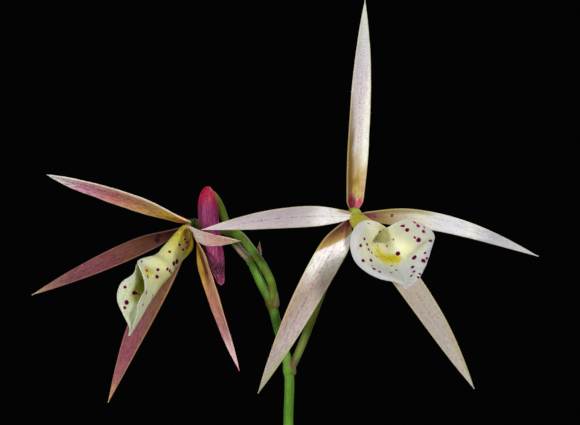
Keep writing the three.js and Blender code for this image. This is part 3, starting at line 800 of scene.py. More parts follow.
@dataclass(frozen=True)
class TepalFinish:
    """The waxy skin of one petal or sepal: its colours from base to tip and its markings. On some tepals the
    stops and patches also hold painted light and painted shade.

    `stops` are its colours along its midrib, `slant` is how much earlier its left side changes
    and `wander` how unevenly the colours meet. `marks` holds its large spots as (along, across,
    radius), in millimetres.
    """

    stops: tuple[tuple[float, Colour], ...]
    stains_and_painted_light: tuple[Stain, ...] = ()
    slant: float = 0.0
    wander: float = 0.08
    pigment: Colour = tint(120, 20, 78)
    rim: Colour = tint(226, 205, 150)
    rim_share: float = 0.35
    mottle: float = 0.16
    streaks: float = 0.18
    midline: float = 0.3
    midline_from: float = 0.12
    midline_until: float = 0.8
    blotches: float = 0.3
    blotch_until: float = 0.16
    freckles: float = 0.2
    marks: tuple[Point, ...] = ()
    mark: Colour = tint(126, 0, 66)
    mark_share: float = 0.9

    def paint(self, name: str) -> Material:
        """The material of that name, which reads the blade's own places."""
        brush = Brush(name)
        flat, along, across, _, spread = brush.on_sheet()
        side = brush.math("ABSOLUTE", across)
        drift = brush.streaks(spread, 0.16, 0.7)
        place = brush.add(along, brush.swing(drift, self.wander))
        brush.ramp(brush.math("SUBTRACT", place, brush.times(across, self.slant)), *self.stops)
        brush.stain_or_painted_light(flat, drift, self.stains_and_painted_light)
        mottle = brush.noise(brush.stretched(spread, 0.5, 1.5), detail=4.0, rough=0.6)
        brush.lay(self.pigment, brush.rise(mottle, 0.4, 0.72, 0, self.mottle))
        lines = brush.rise(brush.streaks(spread, 0.09, 2.6, detail=2.0), 0.54, 0.68)
        brush.lay(self.pigment, lines, brush.rise(mottle, 0.4, 0.6), self.streaks)
        midline = brush.times(
            brush.fall(side, 0.03, 0.11),
            brush.rise(brush.streaks(spread, 0.9, 0.3), 0.44, 0.6),
            brush.rise(along, self.midline_from, self.midline_from + 0.1),
            brush.fall(along, self.midline_until - 0.2, self.midline_until),
        )
        brush.lay(self.pigment, midline, self.midline)
        patches = brush.rise(brush.streaks(spread, 0.42, 0.75), 0.46, 0.6)
        near_base = brush.fall(along, 0.5 * self.blotch_until, self.blotch_until)
        brush.lay(self.pigment, patches, near_base, self.blotches)
        brush.lay(self.pigment, brush.freckles(spread, (1.2, 1.6, 0), self.freckles, 0.26), 0.4)
        on_top = brush.stretched(spread, 1, 1)
        for mark_along, mark_across, radius in self.marks:
            gap = brush.vector("DISTANCE", on_top, (mark_along, mark_across, 0))["Value"]
            brush.lay(self.mark, brush.fall(gap, 0.7 * radius, 1.2 * radius, self.mark_share))
        brush.lay(self.rim, brush.rise(side, 0.84, 1), self.rim_share)
        veins = brush.times(brush.math("SINE", brush.times(across, 34)), 0.3)
        height = brush.add(veins, brush.streaks(spread, 0.9, 2.6, 1, 2))
        return brush.finish((mottle, 0.42, 0.56), (height, 0.05, 0.5), Specular_IOR_Level=0.15)


@dataclass(frozen=True)
class LipFinish:
    """The lip's velvety skin: white limb, yellow throat, green tube and round purple spots. On one lip some
    patches are painted light and painted shade.
    """

    name: str
    limb: Colour = tint(192, 194, 190)
    cream: Colour = tint(228, 228, 176)
    throat: Colour = tint(196, 184, 16)
    tube: Colour = tint(168, 160, 26)
    vein: Colour = tint(150, 160, 90)
    spot: Colour = tint(56, 0, 30)
    halo: Colour = tint(168, 0, 118)
    throat_from: float = 0.3
    throat_until: float = 0.66
    throat_width: float = 0.34
    cream_until: float = 0.62
    tube_until: float = 0.3
    stains_and_painted_light: tuple[Stain, ...] = ()

    def paint(self) -> Material:
        """The material, which reads the lip's own places and its pigment."""
        brush = Brush(self.name, self.cream)
        flat, along, across, _, spread = brush.on_sheet()
        side = brush.math("ABSOLUTE", across)
        cloud = brush.streaks(spread, 0.14, 0.14)
        place = brush.add(along, brush.swing(cloud, 0.12))
        late = brush.rise(place, self.cream_until - 0.14, self.cream_until + 0.1)
        outward = brush.times(brush.rise(side, 0.45, 0.95), brush.rise(place, 0.4, 0.52))
        white = brush.math("MAXIMUM", late, outward)
        brush.lay(self.limb, white)
        deep = brush.times(
            brush.fall(side, 0.35 * self.throat_width, self.throat_width),
            brush.rise(place, self.throat_from, self.throat_from + 0.16),
            brush.fall(place, self.throat_until - 0.14, self.throat_until),
        )
        brush.lay(self.throat, deep, 0.9)
        brush.lay(self.tube, brush.fall(place, 0.35 * self.tube_until, self.tube_until, 0.95))
        brush.stain_or_painted_light(flat, cloud, self.stains_and_painted_light)
        veins = brush.streaks(spread, 0.12, 1.6, detail=2.0)
        brush.lay(self.vein, brush.rise(veins, 0.52, 0.7, 0, 0.08))
        brush.lay(self.halo, brush.freckles(spread, (0.7, 0.7, 0), 0.05, 0.2), white, 0.3)
        pigment = brush.attribute("pigment", number=True)
        brush.lay(self.halo, brush.rise(pigment, 0.05, 0.45))
        brush.lay(self.spot, brush.rise(pigment, 0.4, 0.8))
        height = brush.add(brush.streaks(spread, 2, 2, 1, 2), brush.times(veins, 0.8))
        return brush.finish(
            (cloud, 0.45, 0.58),
            (height, 0.06, 0.5),
            Subsurface_Weight=brush.fall(pigment, 0, 0.5, 0.7),
            Subsurface_Radius=(2.4, 2.3, 1.5),
            Subsurface_Scale=MM,
            Specular_IOR_Level=0.1,
        )


@dataclass(frozen=True)
class BudFinish:
    """The closed bud's skin: crimson near its stalk, purple below, finely speckled."""

    name: str = "bud_skin"
    crimson: Colour = tint(186, 6, 50)
    purple: Colour = tint(130, 26, 84)
    rose: Colour = tint(164, 54, 108)
    pale: Colour = tint(236, 176, 196)
    speck: Colour = tint(66, 2, 46)

    def paint(self) -> Material:
        """The material, which reads the bud's own places."""
        brush = Brush(self.name)
        along = brush.separate(brush.attribute("flat"))[0]
        place = brush.place()
        cloud = brush.streaks(place, 0.5, 0.5, 0.16)
        stops = ((0, self.crimson), (0.08, self.crimson), (0.24, self.purple), (0.6, self.purple))
        brush.ramp(brush.add(along, brush.swing(cloud, 0.2)), *stops, (0.8, self.rose), (1, self.rose))
        lines = brush.streaks(place, 3.2, 3.2, 0.14, 2)
        brush.lay(self.pale, brush.rise(lines, 0.5, 0.68), brush.rise(along, 0.55, 0.98, 0.1, 0.9))
        brush.lay(self.speck, brush.rise(brush.streaks(place, 3, 3, 2.2, 2), 0.46, 0.62, 0, 0.4))
        brush.lay(self.speck, brush.freckles(place, (1.7, 1.7, 1.3), 0.65, 0.42), 0.6)
        height = brush.add(brush.noise(place, 2, 2), brush.times(lines, 1.2))
        return brush.finish((cloud, 0.48, 0.58), (height, 0.08, 0.5), Specular_IOR_Level=0.3)


@dataclass(frozen=True)
class StalkFinish:
    """The green stem and flower stalks. `flushes` are its (place, reach, colour) of other colours."""

    name: str = "stalk_skin"
    green: Colour = tint(92, 140, 34)
    deep: Colour = tint(62, 108, 18)
    pale: Colour = tint(138, 158, 60)
    speck: Colour = tint(96, 62, 40)
    flushes: tuple[tuple[Point, float, Colour], ...] = ()

    def paint(self) -> Material:
        """The material, which reads places in the frame."""
        brush = Brush(self.name, self.green)
        place = brush.place()
        cloud = brush.streaks(place, 0.35, 0.35, 0.1)
        lines = brush.streaks(place, 2.2, 2.2, 0.12, 2)
        brush.lay(self.deep, brush.rise(cloud, 0.35, 0.65, 0, 0.7))
        for centre, reach, flush in self.flushes:
            gap = brush.vector("DISTANCE", place, centre)["Value"]
            brush.lay(flush, brush.fall(gap, 0.4 * reach, reach, 0.85))
        brush.lay(self.pale, brush.rise(lines, 0.5, 0.7, 0, 0.15))
        brush.lay(self.speck, brush.freckles(place, (1.6, 1.6, 1.1), 0.14, 0.24), 0.35)
        height = brush.add(lines, brush.times(brush.noise(place, 4, 3), 0.5))
        return brush.finish((cloud, 0.5, 0.6), (height, 0.1, 0.6), Specular_IOR_Level=0.25)


@dataclass(frozen=True)
class ScaleFinish:
    """Thin dry scales: bracts on the stem and sheaths on the canes."""

    name: str
    light: Colour = tint(214, 198, 160)
    dark: Colour = tint(150, 112, 70)
    flush: Colour = tint(176, 132, 112)

    def paint(self) -> Material:
        """The material, which reads the scale's own places."""
        brush = Brush(self.name, self.light)
        _, along, _, _, spread = brush.on_sheet()
        fibres = brush.streaks(spread, 0.14, 3.2, 1)
        cloud = brush.streaks(spread, 0.2, 0.3, 1, 4)
        brush.lay(self.flush, brush.rise(cloud, 0.35, 0.7))
        brush.lay(self.dark, brush.rise(fibres, 0.48, 0.66, 0, 0.6))
        brush.lay(self.dark, brush.rise(along, 0.75, 1, 0, 0.6))
        height = brush.add(fibres, brush.times(cloud, 0.4))
        return brush.finish((cloud, 0.55, 0.75), (height, 0.16, 0.8), Sheen_Weight=0.1)


@dataclass(frozen=True)
class ColumnFinish:
    """The waxy yellow-green column with its pale end."""

    name: str
    green: Colour = tint(172, 176, 62)
    pale: Colour = tint(240, 238, 202)
    purple: Colour = tint(126, 40, 84)

    def paint(self) -> Material:
        """The material, which reads the column's own places."""
        brush = Brush(self.name, self.green)
        place = brush.place()
        brush.lay(self.pale, brush.rise(brush.separate(brush.attribute("flat"))[0], 0.35, 0.85))
        brush.lay(self.purple, brush.freckles(place, (1.3, 1.3, 1.3), 0.12, 0.26), 0.6)
        rough = (brush.noise(place, 0.9, 3), 0.3, 0.42)
        relief = (brush.noise(place, 3, 2), 0.08, 0.5)
        return brush.finish(rough, relief, Subsurface_Weight=0.15, Subsurface_Scale=MM)


@dataclass(frozen=True)
class LeafFinish:
    """A thick leathery leaf: parallel veins, a pale midrib and a few old marks."""

    name: str
    age: float = 0.1
    green: Colour = tint(92, 130, 48)
    deep: Colour = tint(58, 96, 32)
    vein: Colour = tint(150, 172, 92)
    midrib: Colour = tint(168, 184, 104)
    underside: Colour = tint(146, 164, 96)
    yellow: Colour = tint(180, 168, 72)
    rim: Colour = tint(120, 78, 56)
    speck: Colour = tint(88, 44, 42)
    scar: Colour = tint(128, 98, 58)
    brown: Colour = tint(122, 88, 48)

    def paint(self) -> Material:
        """The material, which reads the leaf's own places."""
        brush = Brush(self.name, self.deep)
        _, along, across, under, spread = brush.on_sheet()
        side = brush.math("ABSOLUTE", across)
        cloud = brush.streaks(spread, 0.03, 0.1, detail=4.0)
        lines = brush.streaks(spread, 0.02, 1.3)
        scars = brush.noise(brush.stretched(spread, 0.12, 0.2), detail=5.0, rough=0.7)
        specks = brush.freckles(spread, (0.34, 0.42, 0), 0.22, 0.2)
        brush.lay(self.green, brush.rise(cloud, 0.32, 0.68))
        brush.lay(self.vein, brush.rise(lines, 0.5, 0.68, 0, 0.3))
        brush.lay(self.midrib, brush.fall(side, 0.02, 0.1, 0.4))
        brush.lay(self.underside, under, 0.35)
        aged = brush.rise(brush.streaks(spread, 0.05, 0.12, detail=4.0), 0.52, 0.72)
        brush.lay(self.yellow, aged, self.age * 3)
        brush.lay(self.rim, brush.rise(side, 0.9, 1), 0.5)
        brush.lay(self.speck, specks, brush.rise(side, 0.2, 0.9), 0.55)
        brush.lay(self.scar, brush.rise(scars, 0.66, 0.72), self.age * 4)
        brush.lay(self.brown, brush.rise(along, 0.955, 1, 0, 0.85))
        height = brush.add(brush.times(lines, 1.2), brush.times(brush.streaks(spread, 1.2, 2.2, 1), 0.35))
        coats = {"Coat_Weight": 0.12, "Coat_Roughness": 0.35}
        return brush.finish(
            (cloud, 0.32, 0.48), (height, 0.22, 0.7), **coats, Subsurface_Weight=0.04, Subsurface_Scale=MM
        )


@dataclass(frozen=True)
class CaneFinish:
    """A slim bulb's skin: green and lined, with pale rings where its sheaths were joined."""

    name: str = "cane_skin"
    green: Colour = tint(136, 154, 66)
    deep: Colour = tint(88, 116, 42)
    line: Colour = tint(176, 178, 104)
    ring: Colour = tint(204, 190, 146)
    old: Colour = tint(158, 136, 92)
    rings: tuple[float, ...] = ()

    def paint(self) -> Material:
        """The material, which reads the cane's own places."""
        brush = Brush(self.name, self.deep)
        along = brush.separate(brush.attribute("flat"))[0]
        place = brush.place()
        cloud = brush.streaks(place, 0.14, 0.14, 0.07, 4)
        lines = brush.streaks(place, 1.1, 1.1, 0.05)
        brush.lay(self.green, brush.rise(cloud, 0.35, 0.65))
        brush.lay(self.line, brush.rise(lines, 0.48, 0.68, 0, 0.4))
        for ring in self.rings:
            gap = brush.math("ABSOLUTE", brush.math("SUBTRACT", along, ring))
            brush.lay(self.ring, brush.fall(gap, 0.006, 0.02, 0.85))
        brush.lay(self.old, brush.fall(along, 0, 0.2, 0.7))
        height = brush.add(lines, brush.times(brush.noise(place, 1.6, 3), 0.4))
        return brush.finish((cloud, 0.4, 0.55), (height, 0.3, 0.7), Coat_Weight=0.05)


@dataclass(frozen=True)
class RootFinish:
    """Roots and rhizome: silvery papery skin, cracked, with green showing through."""

    name: str
    brown_share: float
    silver: Colour = tint(206, 202, 184)
    green: Colour = tint(126, 138, 88)
    brown: Colour = tint(112, 86, 58)
    dark: Colour = tint(84, 66, 46)

    def paint(self) -> Material:
        """The material, which reads places in the frame."""
        brush = Brush(self.name, self.silver)
        place = brush.place()
        fine = brush.noise(place, 1.1, 4, 0.65)
        brush.lay(self.green, brush.rise(brush.noise(place, 0.16, 4), 0.42, 0.66))
        brush.lay(self.brown, brush.rise(fine, 0.5, 0.7, 0, 0.6))
        brush.lay(self.brown, self.brown_share)
        cells = brush.cells(brush.stretched(place, 0.9, 0.9, 0.9), "DISTANCE_TO_EDGE")
        crack = brush.fall(cells["Distance"], 0, 0.07, 0.55)
        brush.lay(self.dark, crack)
        height = brush.math("SUBTRACT", fine, brush.times(crack, 0.8))
        return brush.finish((fine, 0.65, 0.85), (height, 0.3, 0.8), Sheen_Weight=0.1)


@dataclass(frozen=True)
class BarkFinish:
    """Chips of dry bark: layered, each with its own tone."""

    name: str = "bark_chips"
    dark: Colour = tint(58, 34, 22)
    middle: Colour = tint(112, 70, 42)
    light: Colour = tint(164, 116, 74)
    dust: Colour = tint(150, 140, 120)

    def paint(self) -> Material:
        """The material, which reads each chip's tone and its own grain."""
        brush = Brush(self.name)
        tone, grain = brush.attribute("tone", number=True), brush.attribute("grain")
        layers = brush.noise(brush.stretched(grain, 0.25, 0.5, 2), detail=4.0, rough=0.65)
        specks = brush.noise(brush.stretched(grain, 1.3, 1.6, 1.6), detail=4.0, rough=0.7)
        shade = brush.add(brush.times(tone, 0.75), brush.times(layers, 0.35))
        brush.ramp(shade, (0.1, self.dark), (0.5, self.middle), (0.95, self.light))
        brush.lay(self.dark, brush.rise(specks, 0.52, 0.7, 0, 0.55))
        brush.lay(self.dust, brush.rise(brush.noise(brush.place(), 0.09, 3), 0.5, 0.7, 0, 0.25))
        height = brush.add(layers, brush.times(specks, 0.6))
        return brush.finish((specks, 0.8, 0.95), (height, 0.7, 0.9), Specular_IOR_Level=0.3)


@dataclass(frozen=True)
class GritFinish:
    """White and grey mineral grit among the bark."""

    name: str = "mineral_grit"
    light: Colour = tint(224, 220, 208)
    dark: Colour = tint(150, 144, 132)

    def paint(self) -> Material:
        """The material, which reads each grain's tone."""
        brush = Brush(self.name, self.light)
        pits = brush.noise(brush.place(), 1.4, 4, 0.7)
        brush.lay(self.dark, brush.rise(brush.attribute("tone", number=True), 0.5, 0.9))
        brush.lay(self.dark, brush.rise(pits, 0.5, 0.66, 0, 0.5))
        return brush.finish((pits, 0.8, 0.95), (pits, 0.4, 0.9), Specular_IOR_Level=0.3)


@dataclass(frozen=True)
class ClayFinish:
    """Unglazed fired clay that has been watered for years: turning lines and chalky bloom."""

    name: str = "fired_clay"
    clay: Colour = tint(188, 104, 66)
    deep: Colour = tint(158, 80, 50)
    bloom: Colour = tint(222, 196, 172)
    moss: Colour = tint(96, 100, 62)
    pore: Colour = tint(96, 50, 34)

    def paint(self) -> Material:
        """The material, which reads places in the frame."""
        brush = Brush(self.name, self.clay)
        place = brush.place()
        height = brush.separate(place)[2]
        lines = brush.streaks(place, 0.01, 0.01, 1.1)
        fine = brush.noise(place, 1.2, 4, 0.65)
        pores = brush.freckles(place, (0.7, 0.7, 0.7), 0.3, 0.16)
        brush.lay(self.deep, brush.rise(brush.noise(place, 0.03, 4), 0.34, 0.66))
        brush.lay(self.deep, brush.rise(lines, 0.45, 0.65, 0, 0.3))
        patches = brush.noise(brush.stretched(place, 0.05, 0.05, 0.08), detail=6.0, rough=0.68)
        chalk = brush.times(brush.rise(patches, 0.48, 0.66), brush.rise(height, 0, 30, 1, 0.35), 0.75)
        under_rim = brush.times(brush.rise(patches, 0.42, 0.62), brush.rise(height, 60, 80), 0.5)
        brush.lay(self.bloom, brush.math("MAXIMUM", chalk, under_rim))
        damp = brush.rise(brush.noise(place, 0.07, 5, 0.7), 0.54, 0.66)
        brush.lay(self.moss, damp, brush.fall(height, 4, 50, 0.5))
        brush.lay(self.pore, pores, 0.5)
        bumps = brush.add(brush.times(lines, 0.8), brush.times(fine, 0.5))
        bumps = brush.math("SUBTRACT", bumps, brush.times(pores, 0.8))
        return brush.finish((fine, 0.78, 0.95), (bumps, 0.35, 0.8), Specular_IOR_Level=0.25)


@dataclass(frozen=True)
class FloorFinish:
    """The plain pale floor of the studio."""

    name: str = "studio_floor"
    pale: Colour = tint(196, 193, 188)
    cloud: Colour = tint(196, 192, 186)

    def paint(self) -> Material:
        """The material, with the faintest cloud in it."""
        brush = Brush(self.name, self.pale)
        place = brush.place()
        fine = brush.noise(place, 0.4, 3)
        brush.lay(self.cloud, brush.rise(brush.noise(place, 0.004, 3), 0.3, 0.7, 0, 0.08))
        return brush.finish((fine, 0.6, 0.7), (fine, 0.05, 0.4))


def rounded(corners: Sequence[tuple[float, float, float]], step: float) -> Array:
    """A profile of (radius, height) through corners, each rounded off.

    Args:
        corners: Radius, height and how far from the corner its rounding starts.
        step: The longest stretch between two points of the result.

    Returns:
        The profile's points.
    """
    places = [vec(*corner[:2]) for corner in corners]
    line = [places[0]]
    for before, corner, after, (_, _, reach) in zip(places, places[1:], places[2:], corners[1:]):
        arrive = corner + unit(before - corner) * reach
        leave = corner + unit(after - corner) * reach
        for t in np.linspace(0, 1, 6):
            line.append(arrive * (1 - t) ** 2 + corner * 2 * t * (1 - t) + leave * t * t)
    line.append(places[-1])
    even = [line[0]]
    for start, end in zip(line, line[1:]):
        count = max(1, math.ceil(float(np.linalg.norm(end - start)) / step))
        even.extend(start + (end - start) * k / count for k in range(1, count + 1))
    return np.array(even)


def turned(profile: Array, segments: int, relief: Array, material: Material) -> Mesh:
    """A closed body turned from a profile whose two ends are on the axis.

    Args:
        profile: Radius and height of each point, from the underside's middle round to the end.
        segments: How many sides it has.
        relief: How far each point of each side stands out, in millimetres.
        material: What it is made of.

    Returns:
        The mesh.
    """
    slope = unit(np.gradient(profile, axis=0))
    outward = np.stack([slope[:, 1], -slope[:, 0]], 1)
    inner = profile[1:-1, None] + outward[1:-1, None] * relief[1:-1, :, None]
    turn = turns_of(segments)
    radius, height = inner[..., 0], inner[..., 1]
    points = np.stack([radius * np.cos(turn), radius * np.sin(turn), height], -1)
    poles = [[0, 0, profile[0, 1]], [0, 0, profile[-1, 1]]]
    every = np.concatenate([points.reshape(-1, 3), poles])
    return mesh_from(every, closed_rings(len(points), segments), material)


@dataclass
class Pot:
    """The hand-turned clay pot: a tapered body, a collar rim and four drain holes."""

    height: float = 108.0
    base_radius: float = 42.0
    top_radius: float = 57.0
    rim_radius: float = 61.0
    rim_height: float = 24.0
    wall: float = 5.0
    floor: float = 7.0
    drain_radius: float = 4.5
    drain_circle: float = 22.0
    drain_count: int = 4
    segments: int = 144
    step: float = 1.7
    turning_depth: float = 0.1

    def outside(self, height: float) -> float:
        """The body's radius at a height."""
        return self.base_radius + (self.top_radius - self.base_radius) * height / self.height

    def inside(self, height: float) -> float:
        """The radius of its inside at a height."""
        return self.outside(height) - self.wall

    def profile(self) -> Array:
        """Its profile, from the middle of the underside round to the middle of the floor."""
        rim_bottom = self.height - self.rim_height
        corners = [
            (0, 0, 0),
            (self.base_radius, 0, 1.5),
            (self.outside(rim_bottom), rim_bottom, 0.8),
            (self.rim_radius - 0.4, rim_bottom, 1.4),
            (self.rim_radius + 1.3, self.height, 1.8),
            (self.inside(self.height), self.height, 1.7),
            (self.inside(self.floor), self.floor, 2),
            (0, self.floor, 0),
        ]
        return rounded(corners, self.step)

    def body(self) -> Mesh:
        """The turned body with its fine turning lines, without its drain holes."""
        profile = self.profile()
        turn = np.linspace(0, 1, self.segments, endpoint=False)
        lines = ripple(profile[:, 1] / 9, SEED, 4)[:, None]
        hand = np.sin(2 * math.pi * (2 * turn[None] + profile[:, 1:] / 260))
        relief = self.turning_depth * (lines + 0.6 * hand)
        relief = relief * smoothstep(profile[:, 1], 1, 8)[:, None]
        return turned(profile, self.segments, relief, ClayFinish().paint())

    def drills(self) -> bpy.types.Object:
        """The plugs that cut the drain holes, as one object."""
        shapes = bmesh.new()
        sizes = {"radius1": self.drain_radius, "radius2": self.drain_radius * 0.94, "depth": 3 * self.floor}
        metres = {name: size * MM for name, size in sizes.items()}
        for index in range(self.drain_count):
            angle = math.pi * (2 * index + 1) / self.drain_count
            middle = Vector((math.cos(angle), math.sin(angle), 0)) * self.drain_circle * MM
            middle.z = self.floor / 2 * MM
            made = bmesh.ops.create_cone(shapes, cap_ends=True, segments=40, **metres)
            bmesh.ops.translate(shapes, verts=made["verts"], vec=middle)
        return link_object("drills", mesh_of(shapes, "drills"))

    def build(self) -> None:
        """Makes the pot with its holes cut."""
        blank = link_object("pot_blank", self.body())
        cut = blank.modifiers.new("drain_holes", "BOOLEAN")
        cut.operation = "DIFFERENCE"
        cut.solver = "EXACT"
        cut.object = self.drills()
        graph = bpy.context.evaluated_depsgraph_get()
        mesh = bpy.data.meshes.new_from_object(blank.evaluated_get(graph))
        bpy.data.objects.remove(cut.object)
        bpy.data.objects.remove(blank)
        show("pot_fine", mesh, "clay", "pot")


class Scatter:
    """Strews chips or grains over a surface, each turned, tilted and sized at random."""

    def __init__(self) -> None:
        """Builds the geometry node tree once."""
        tree = GeometryTree("strewn_pieces")
        names = ("Spacing", "Tilt", "Smallest", "Largest")
        spacing, tilt, smallest, largest = (tree.size(name) for name in names)
        kinds = {"Seed": "Int", "Pieces": "Collection", "Material": "Material"}
        seed, pieces, material = (tree.size(name, kind) for name, kind in kinds.items())

        def drawn(kind: str, low: Any, high: Any, order: int) -> Any:
            """A random value for each piece, from a seed of its own."""
            return tree.random(kind, low, high, tree.add(seed, order))

        surface = tree.start.outputs["Geometry"]
        inputs = {"Mesh": surface, "Distance Min": spacing, "Density Max": 400000.0, "Seed": seed}
        points = tree.out("GeometryNodeDistributePointsOnFaces", inputs, distribute_method="POISSON")
        inputs = {"Collection": pieces, "Separate Children": True, "Reset Children": True}
        choices = tree.out("GeometryNodeCollectionInfo", inputs)
        angles = {order - 2: tree.times(drawn("FLOAT", -1.0, 1.0, order), tilt) for order in (2, 3)}
        angles[2] = drawn("FLOAT", -math.pi, math.pi, 1)
        inputs = {
            "Points": points,
            "Instance": choices,
            "Pick Instance": True,
            "Instance Index": drawn("INT", 0, 1000, 5),
            "Rotation": tree.out("ShaderNodeCombineXYZ", angles),
            "Scale": drawn("FLOAT", smallest, largest, 4),
        }
        strewn = tree.out("GeometryNodeInstanceOnPoints", inputs)
        inputs = {"Geometry": strewn, "Name": "tone", "Value": drawn("FLOAT", 0.0, 1.0, 6)}
        toned = tree.out("GeometryNodeStoreNamedAttribute", inputs, domain="INSTANCE")
        tree.close(toned, material)
        self.tree = tree

    def strew(self, surface: Mesh, chips: Iterable["LooseChip"], **sizes: Any) -> Mesh:
        """Strews copies of chips over a surface.

        Args:
            surface: Where they lie.
            chips: The shapes to choose from.
            sizes: Values of the tree's inputs.

        Returns:
            All of them as one mesh, with the attribute tone.
        """
        store = bpy.data.collections.new("loose_pieces")
        for order, chip in enumerate(chips):
            store.objects.link(bpy.data.objects.new(f"loose_piece_{order}", chip.build()))
        mesh = self.tree.run(link_object("strewn", surface), Pieces=store, **sizes)
        for sample in store.objects[:]:
            bpy.data.objects.remove(sample)
        bpy.data.collections.remove(store)
        return mesh


@dataclass
class LooseChip:
    """One chip of bark or grain of grit: a blunt block, split and worn unevenly."""

    size: Point
    seed: int
    cuts: int = 4
    uneven: float = 0.24
    worn: float = 0.05
    bluntness: float = 0.3

    def build(self) -> Mesh:
        """The mesh, at the origin, with the attribute grain."""
        shape = bmesh.new()
        bmesh.ops.create_cube(shape, size=2.0)
        bmesh.ops.subdivide_edges(shape, edges=shape.edges[:], cuts=self.cuts, use_grid_fill=True)
        noise.seed_set(self.seed)  # without it, the noise differs from run to run
        offset = Vector((self.seed * 3.7, self.seed * 1.9, self.seed * 5.3))
        grain = []
        for corner in shape.verts:
            spot = corner.co.copy()
            spot = spot.lerp(spot.normalized() * 1.15, self.bluntness)
            coarse = noise.noise_vector(spot * 0.8 + offset) * self.uneven
            fine = noise.noise_vector(spot * 3.1 + offset) * self.worn
            spot += coarse * 1.6 + fine * 2
            corner.co = Vector(spot[axis] * self.size[axis] / 2 * MM for axis in range(3))
            grain.append([corner.co[axis] / MM + self.seed * 17.0 for axis in range(3)])
        mesh = mesh_of(shape, "chip")
        mesh.set_sharp_from_angle(angle=math.radians(38))
        add_attribute(mesh, "grain", np.array(grain))
        return mesh


@dataclass
class BarkMix:
    """The pot's filling: packed bark under a loose top layer of chips with some mineral grit."""

    pot: Pot
    scatter: Scatter
    top: float = 90.0
    gap: float = 0.4
    chip_spacing: float = 6.6
    crumb_spacing: float = 4.6
    grit_spacing: float = 11.0
    segments: int = 96

    def filling(self, material: Material) -> Mesh:
        """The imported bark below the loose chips."""
        low, high = self.pot.floor + self.gap, self.top - 1.0
        low_radius, high_radius = (self.pot.inside(height) - self.gap for height in (low, high))
        corners = [(0, low, 0), (low_radius, low, 1.5), (high_radius, high, 1.5), (0, high, 0)]
        profile = rounded(corners, 2.2)
        on_top = (profile[:, 1] > high - 0.1) & (profile[:, 0] < self.pot.inside(high) - 3)
        relief = np.zeros((len(profile), self.segments))
        for row in np.flatnonzero(on_top):
            radius = profile[row, 0]
            for column, angle in enumerate(turns_of(self.segments)):
                spot = Vector((radius * math.cos(angle), radius * math.sin(angle), 0)) * 0.13
                relief[row, column] = 2.2 * noise.noise(spot)
        mesh = turned(profile, self.segments, relief, material)
        places = np.empty(len(mesh.vertices) * 3)
        mesh.vertices.foreach_get("co", places)
        add_attribute(mesh, "grain", places.reshape(-1, 3) / MM)
        add_attribute(mesh, "tone", np.full(len(mesh.vertices), 0.15))
        return mesh

    def layer(
        self, name: str, chips: list[LooseChip], skin: Material, bed: Sequence[float], sizes: Sequence[float]
    ) -> None:
        """One layer of loose pieces.

        Args:
            name: The name of the layer.
            chips: The shapes to choose from.
            skin: What they are made of.
            bed: How far from the pot's wall and how high above the filling they lie.
            sizes: The layer's seed, and the pieces' spacing, tilt, smallest and largest size.
        """
        from_wall, above = bed
        surface = disc("bed", (self.pot.inside(self.top) - from_wall) * MM, (self.top + above) * MM, 48)
        inputs = dict(zip(("Seed", "Spacing", "Tilt", "Smallest", "Largest"), sizes), Material=skin)
        inputs["Spacing"] *= MM
        show(name, self.scatter.strew(surface, chips, **inputs), "bark")

    def build(self) -> None:
        """Makes the filling, two sizes of chips and the grit."""
        bark, grit = BarkFinish().paint(), GritFinish().paint()
        show("bark_filling", self.filling(bark), "bark", "bark_mix")
        blocks = [(15.0 + 1.3 * k, 9.5 + 0.7 * (k % 3), 4.6 + 0.8 * (k % 4)) for k in range(7)]
        chips = [LooseChip(block, k + 3) for k, block in enumerate(blocks)]
        crumbs = [LooseChip((7.5 + 0.6 * k, 5.0 + 0.5 * (k % 3), 3), k + 40, cuts=3) for k in range(5)]
        grains = [LooseChip((4.0 + 0.4 * k, 3.4, 3), k + 70, cuts=3, bluntness=0.75) for k in range(4)]
        large = (11, self.chip_spacing, 0.42, 0.75, 1.12)
        small = (31, self.crumb_spacing, 0.7, 0.6, 1.1)
        loose = (51, self.grit_spacing, 1.2, 0.7, 1.25)
        self.layer("bark_chips_large", chips, bark, (8.0, 0.6), large)
        self.layer("bark_chips_small", crumbs, bark, (3.4, 1.0), small)
        self.layer("mineral_grit", grains, grit, (3.4, 3.2), loose)


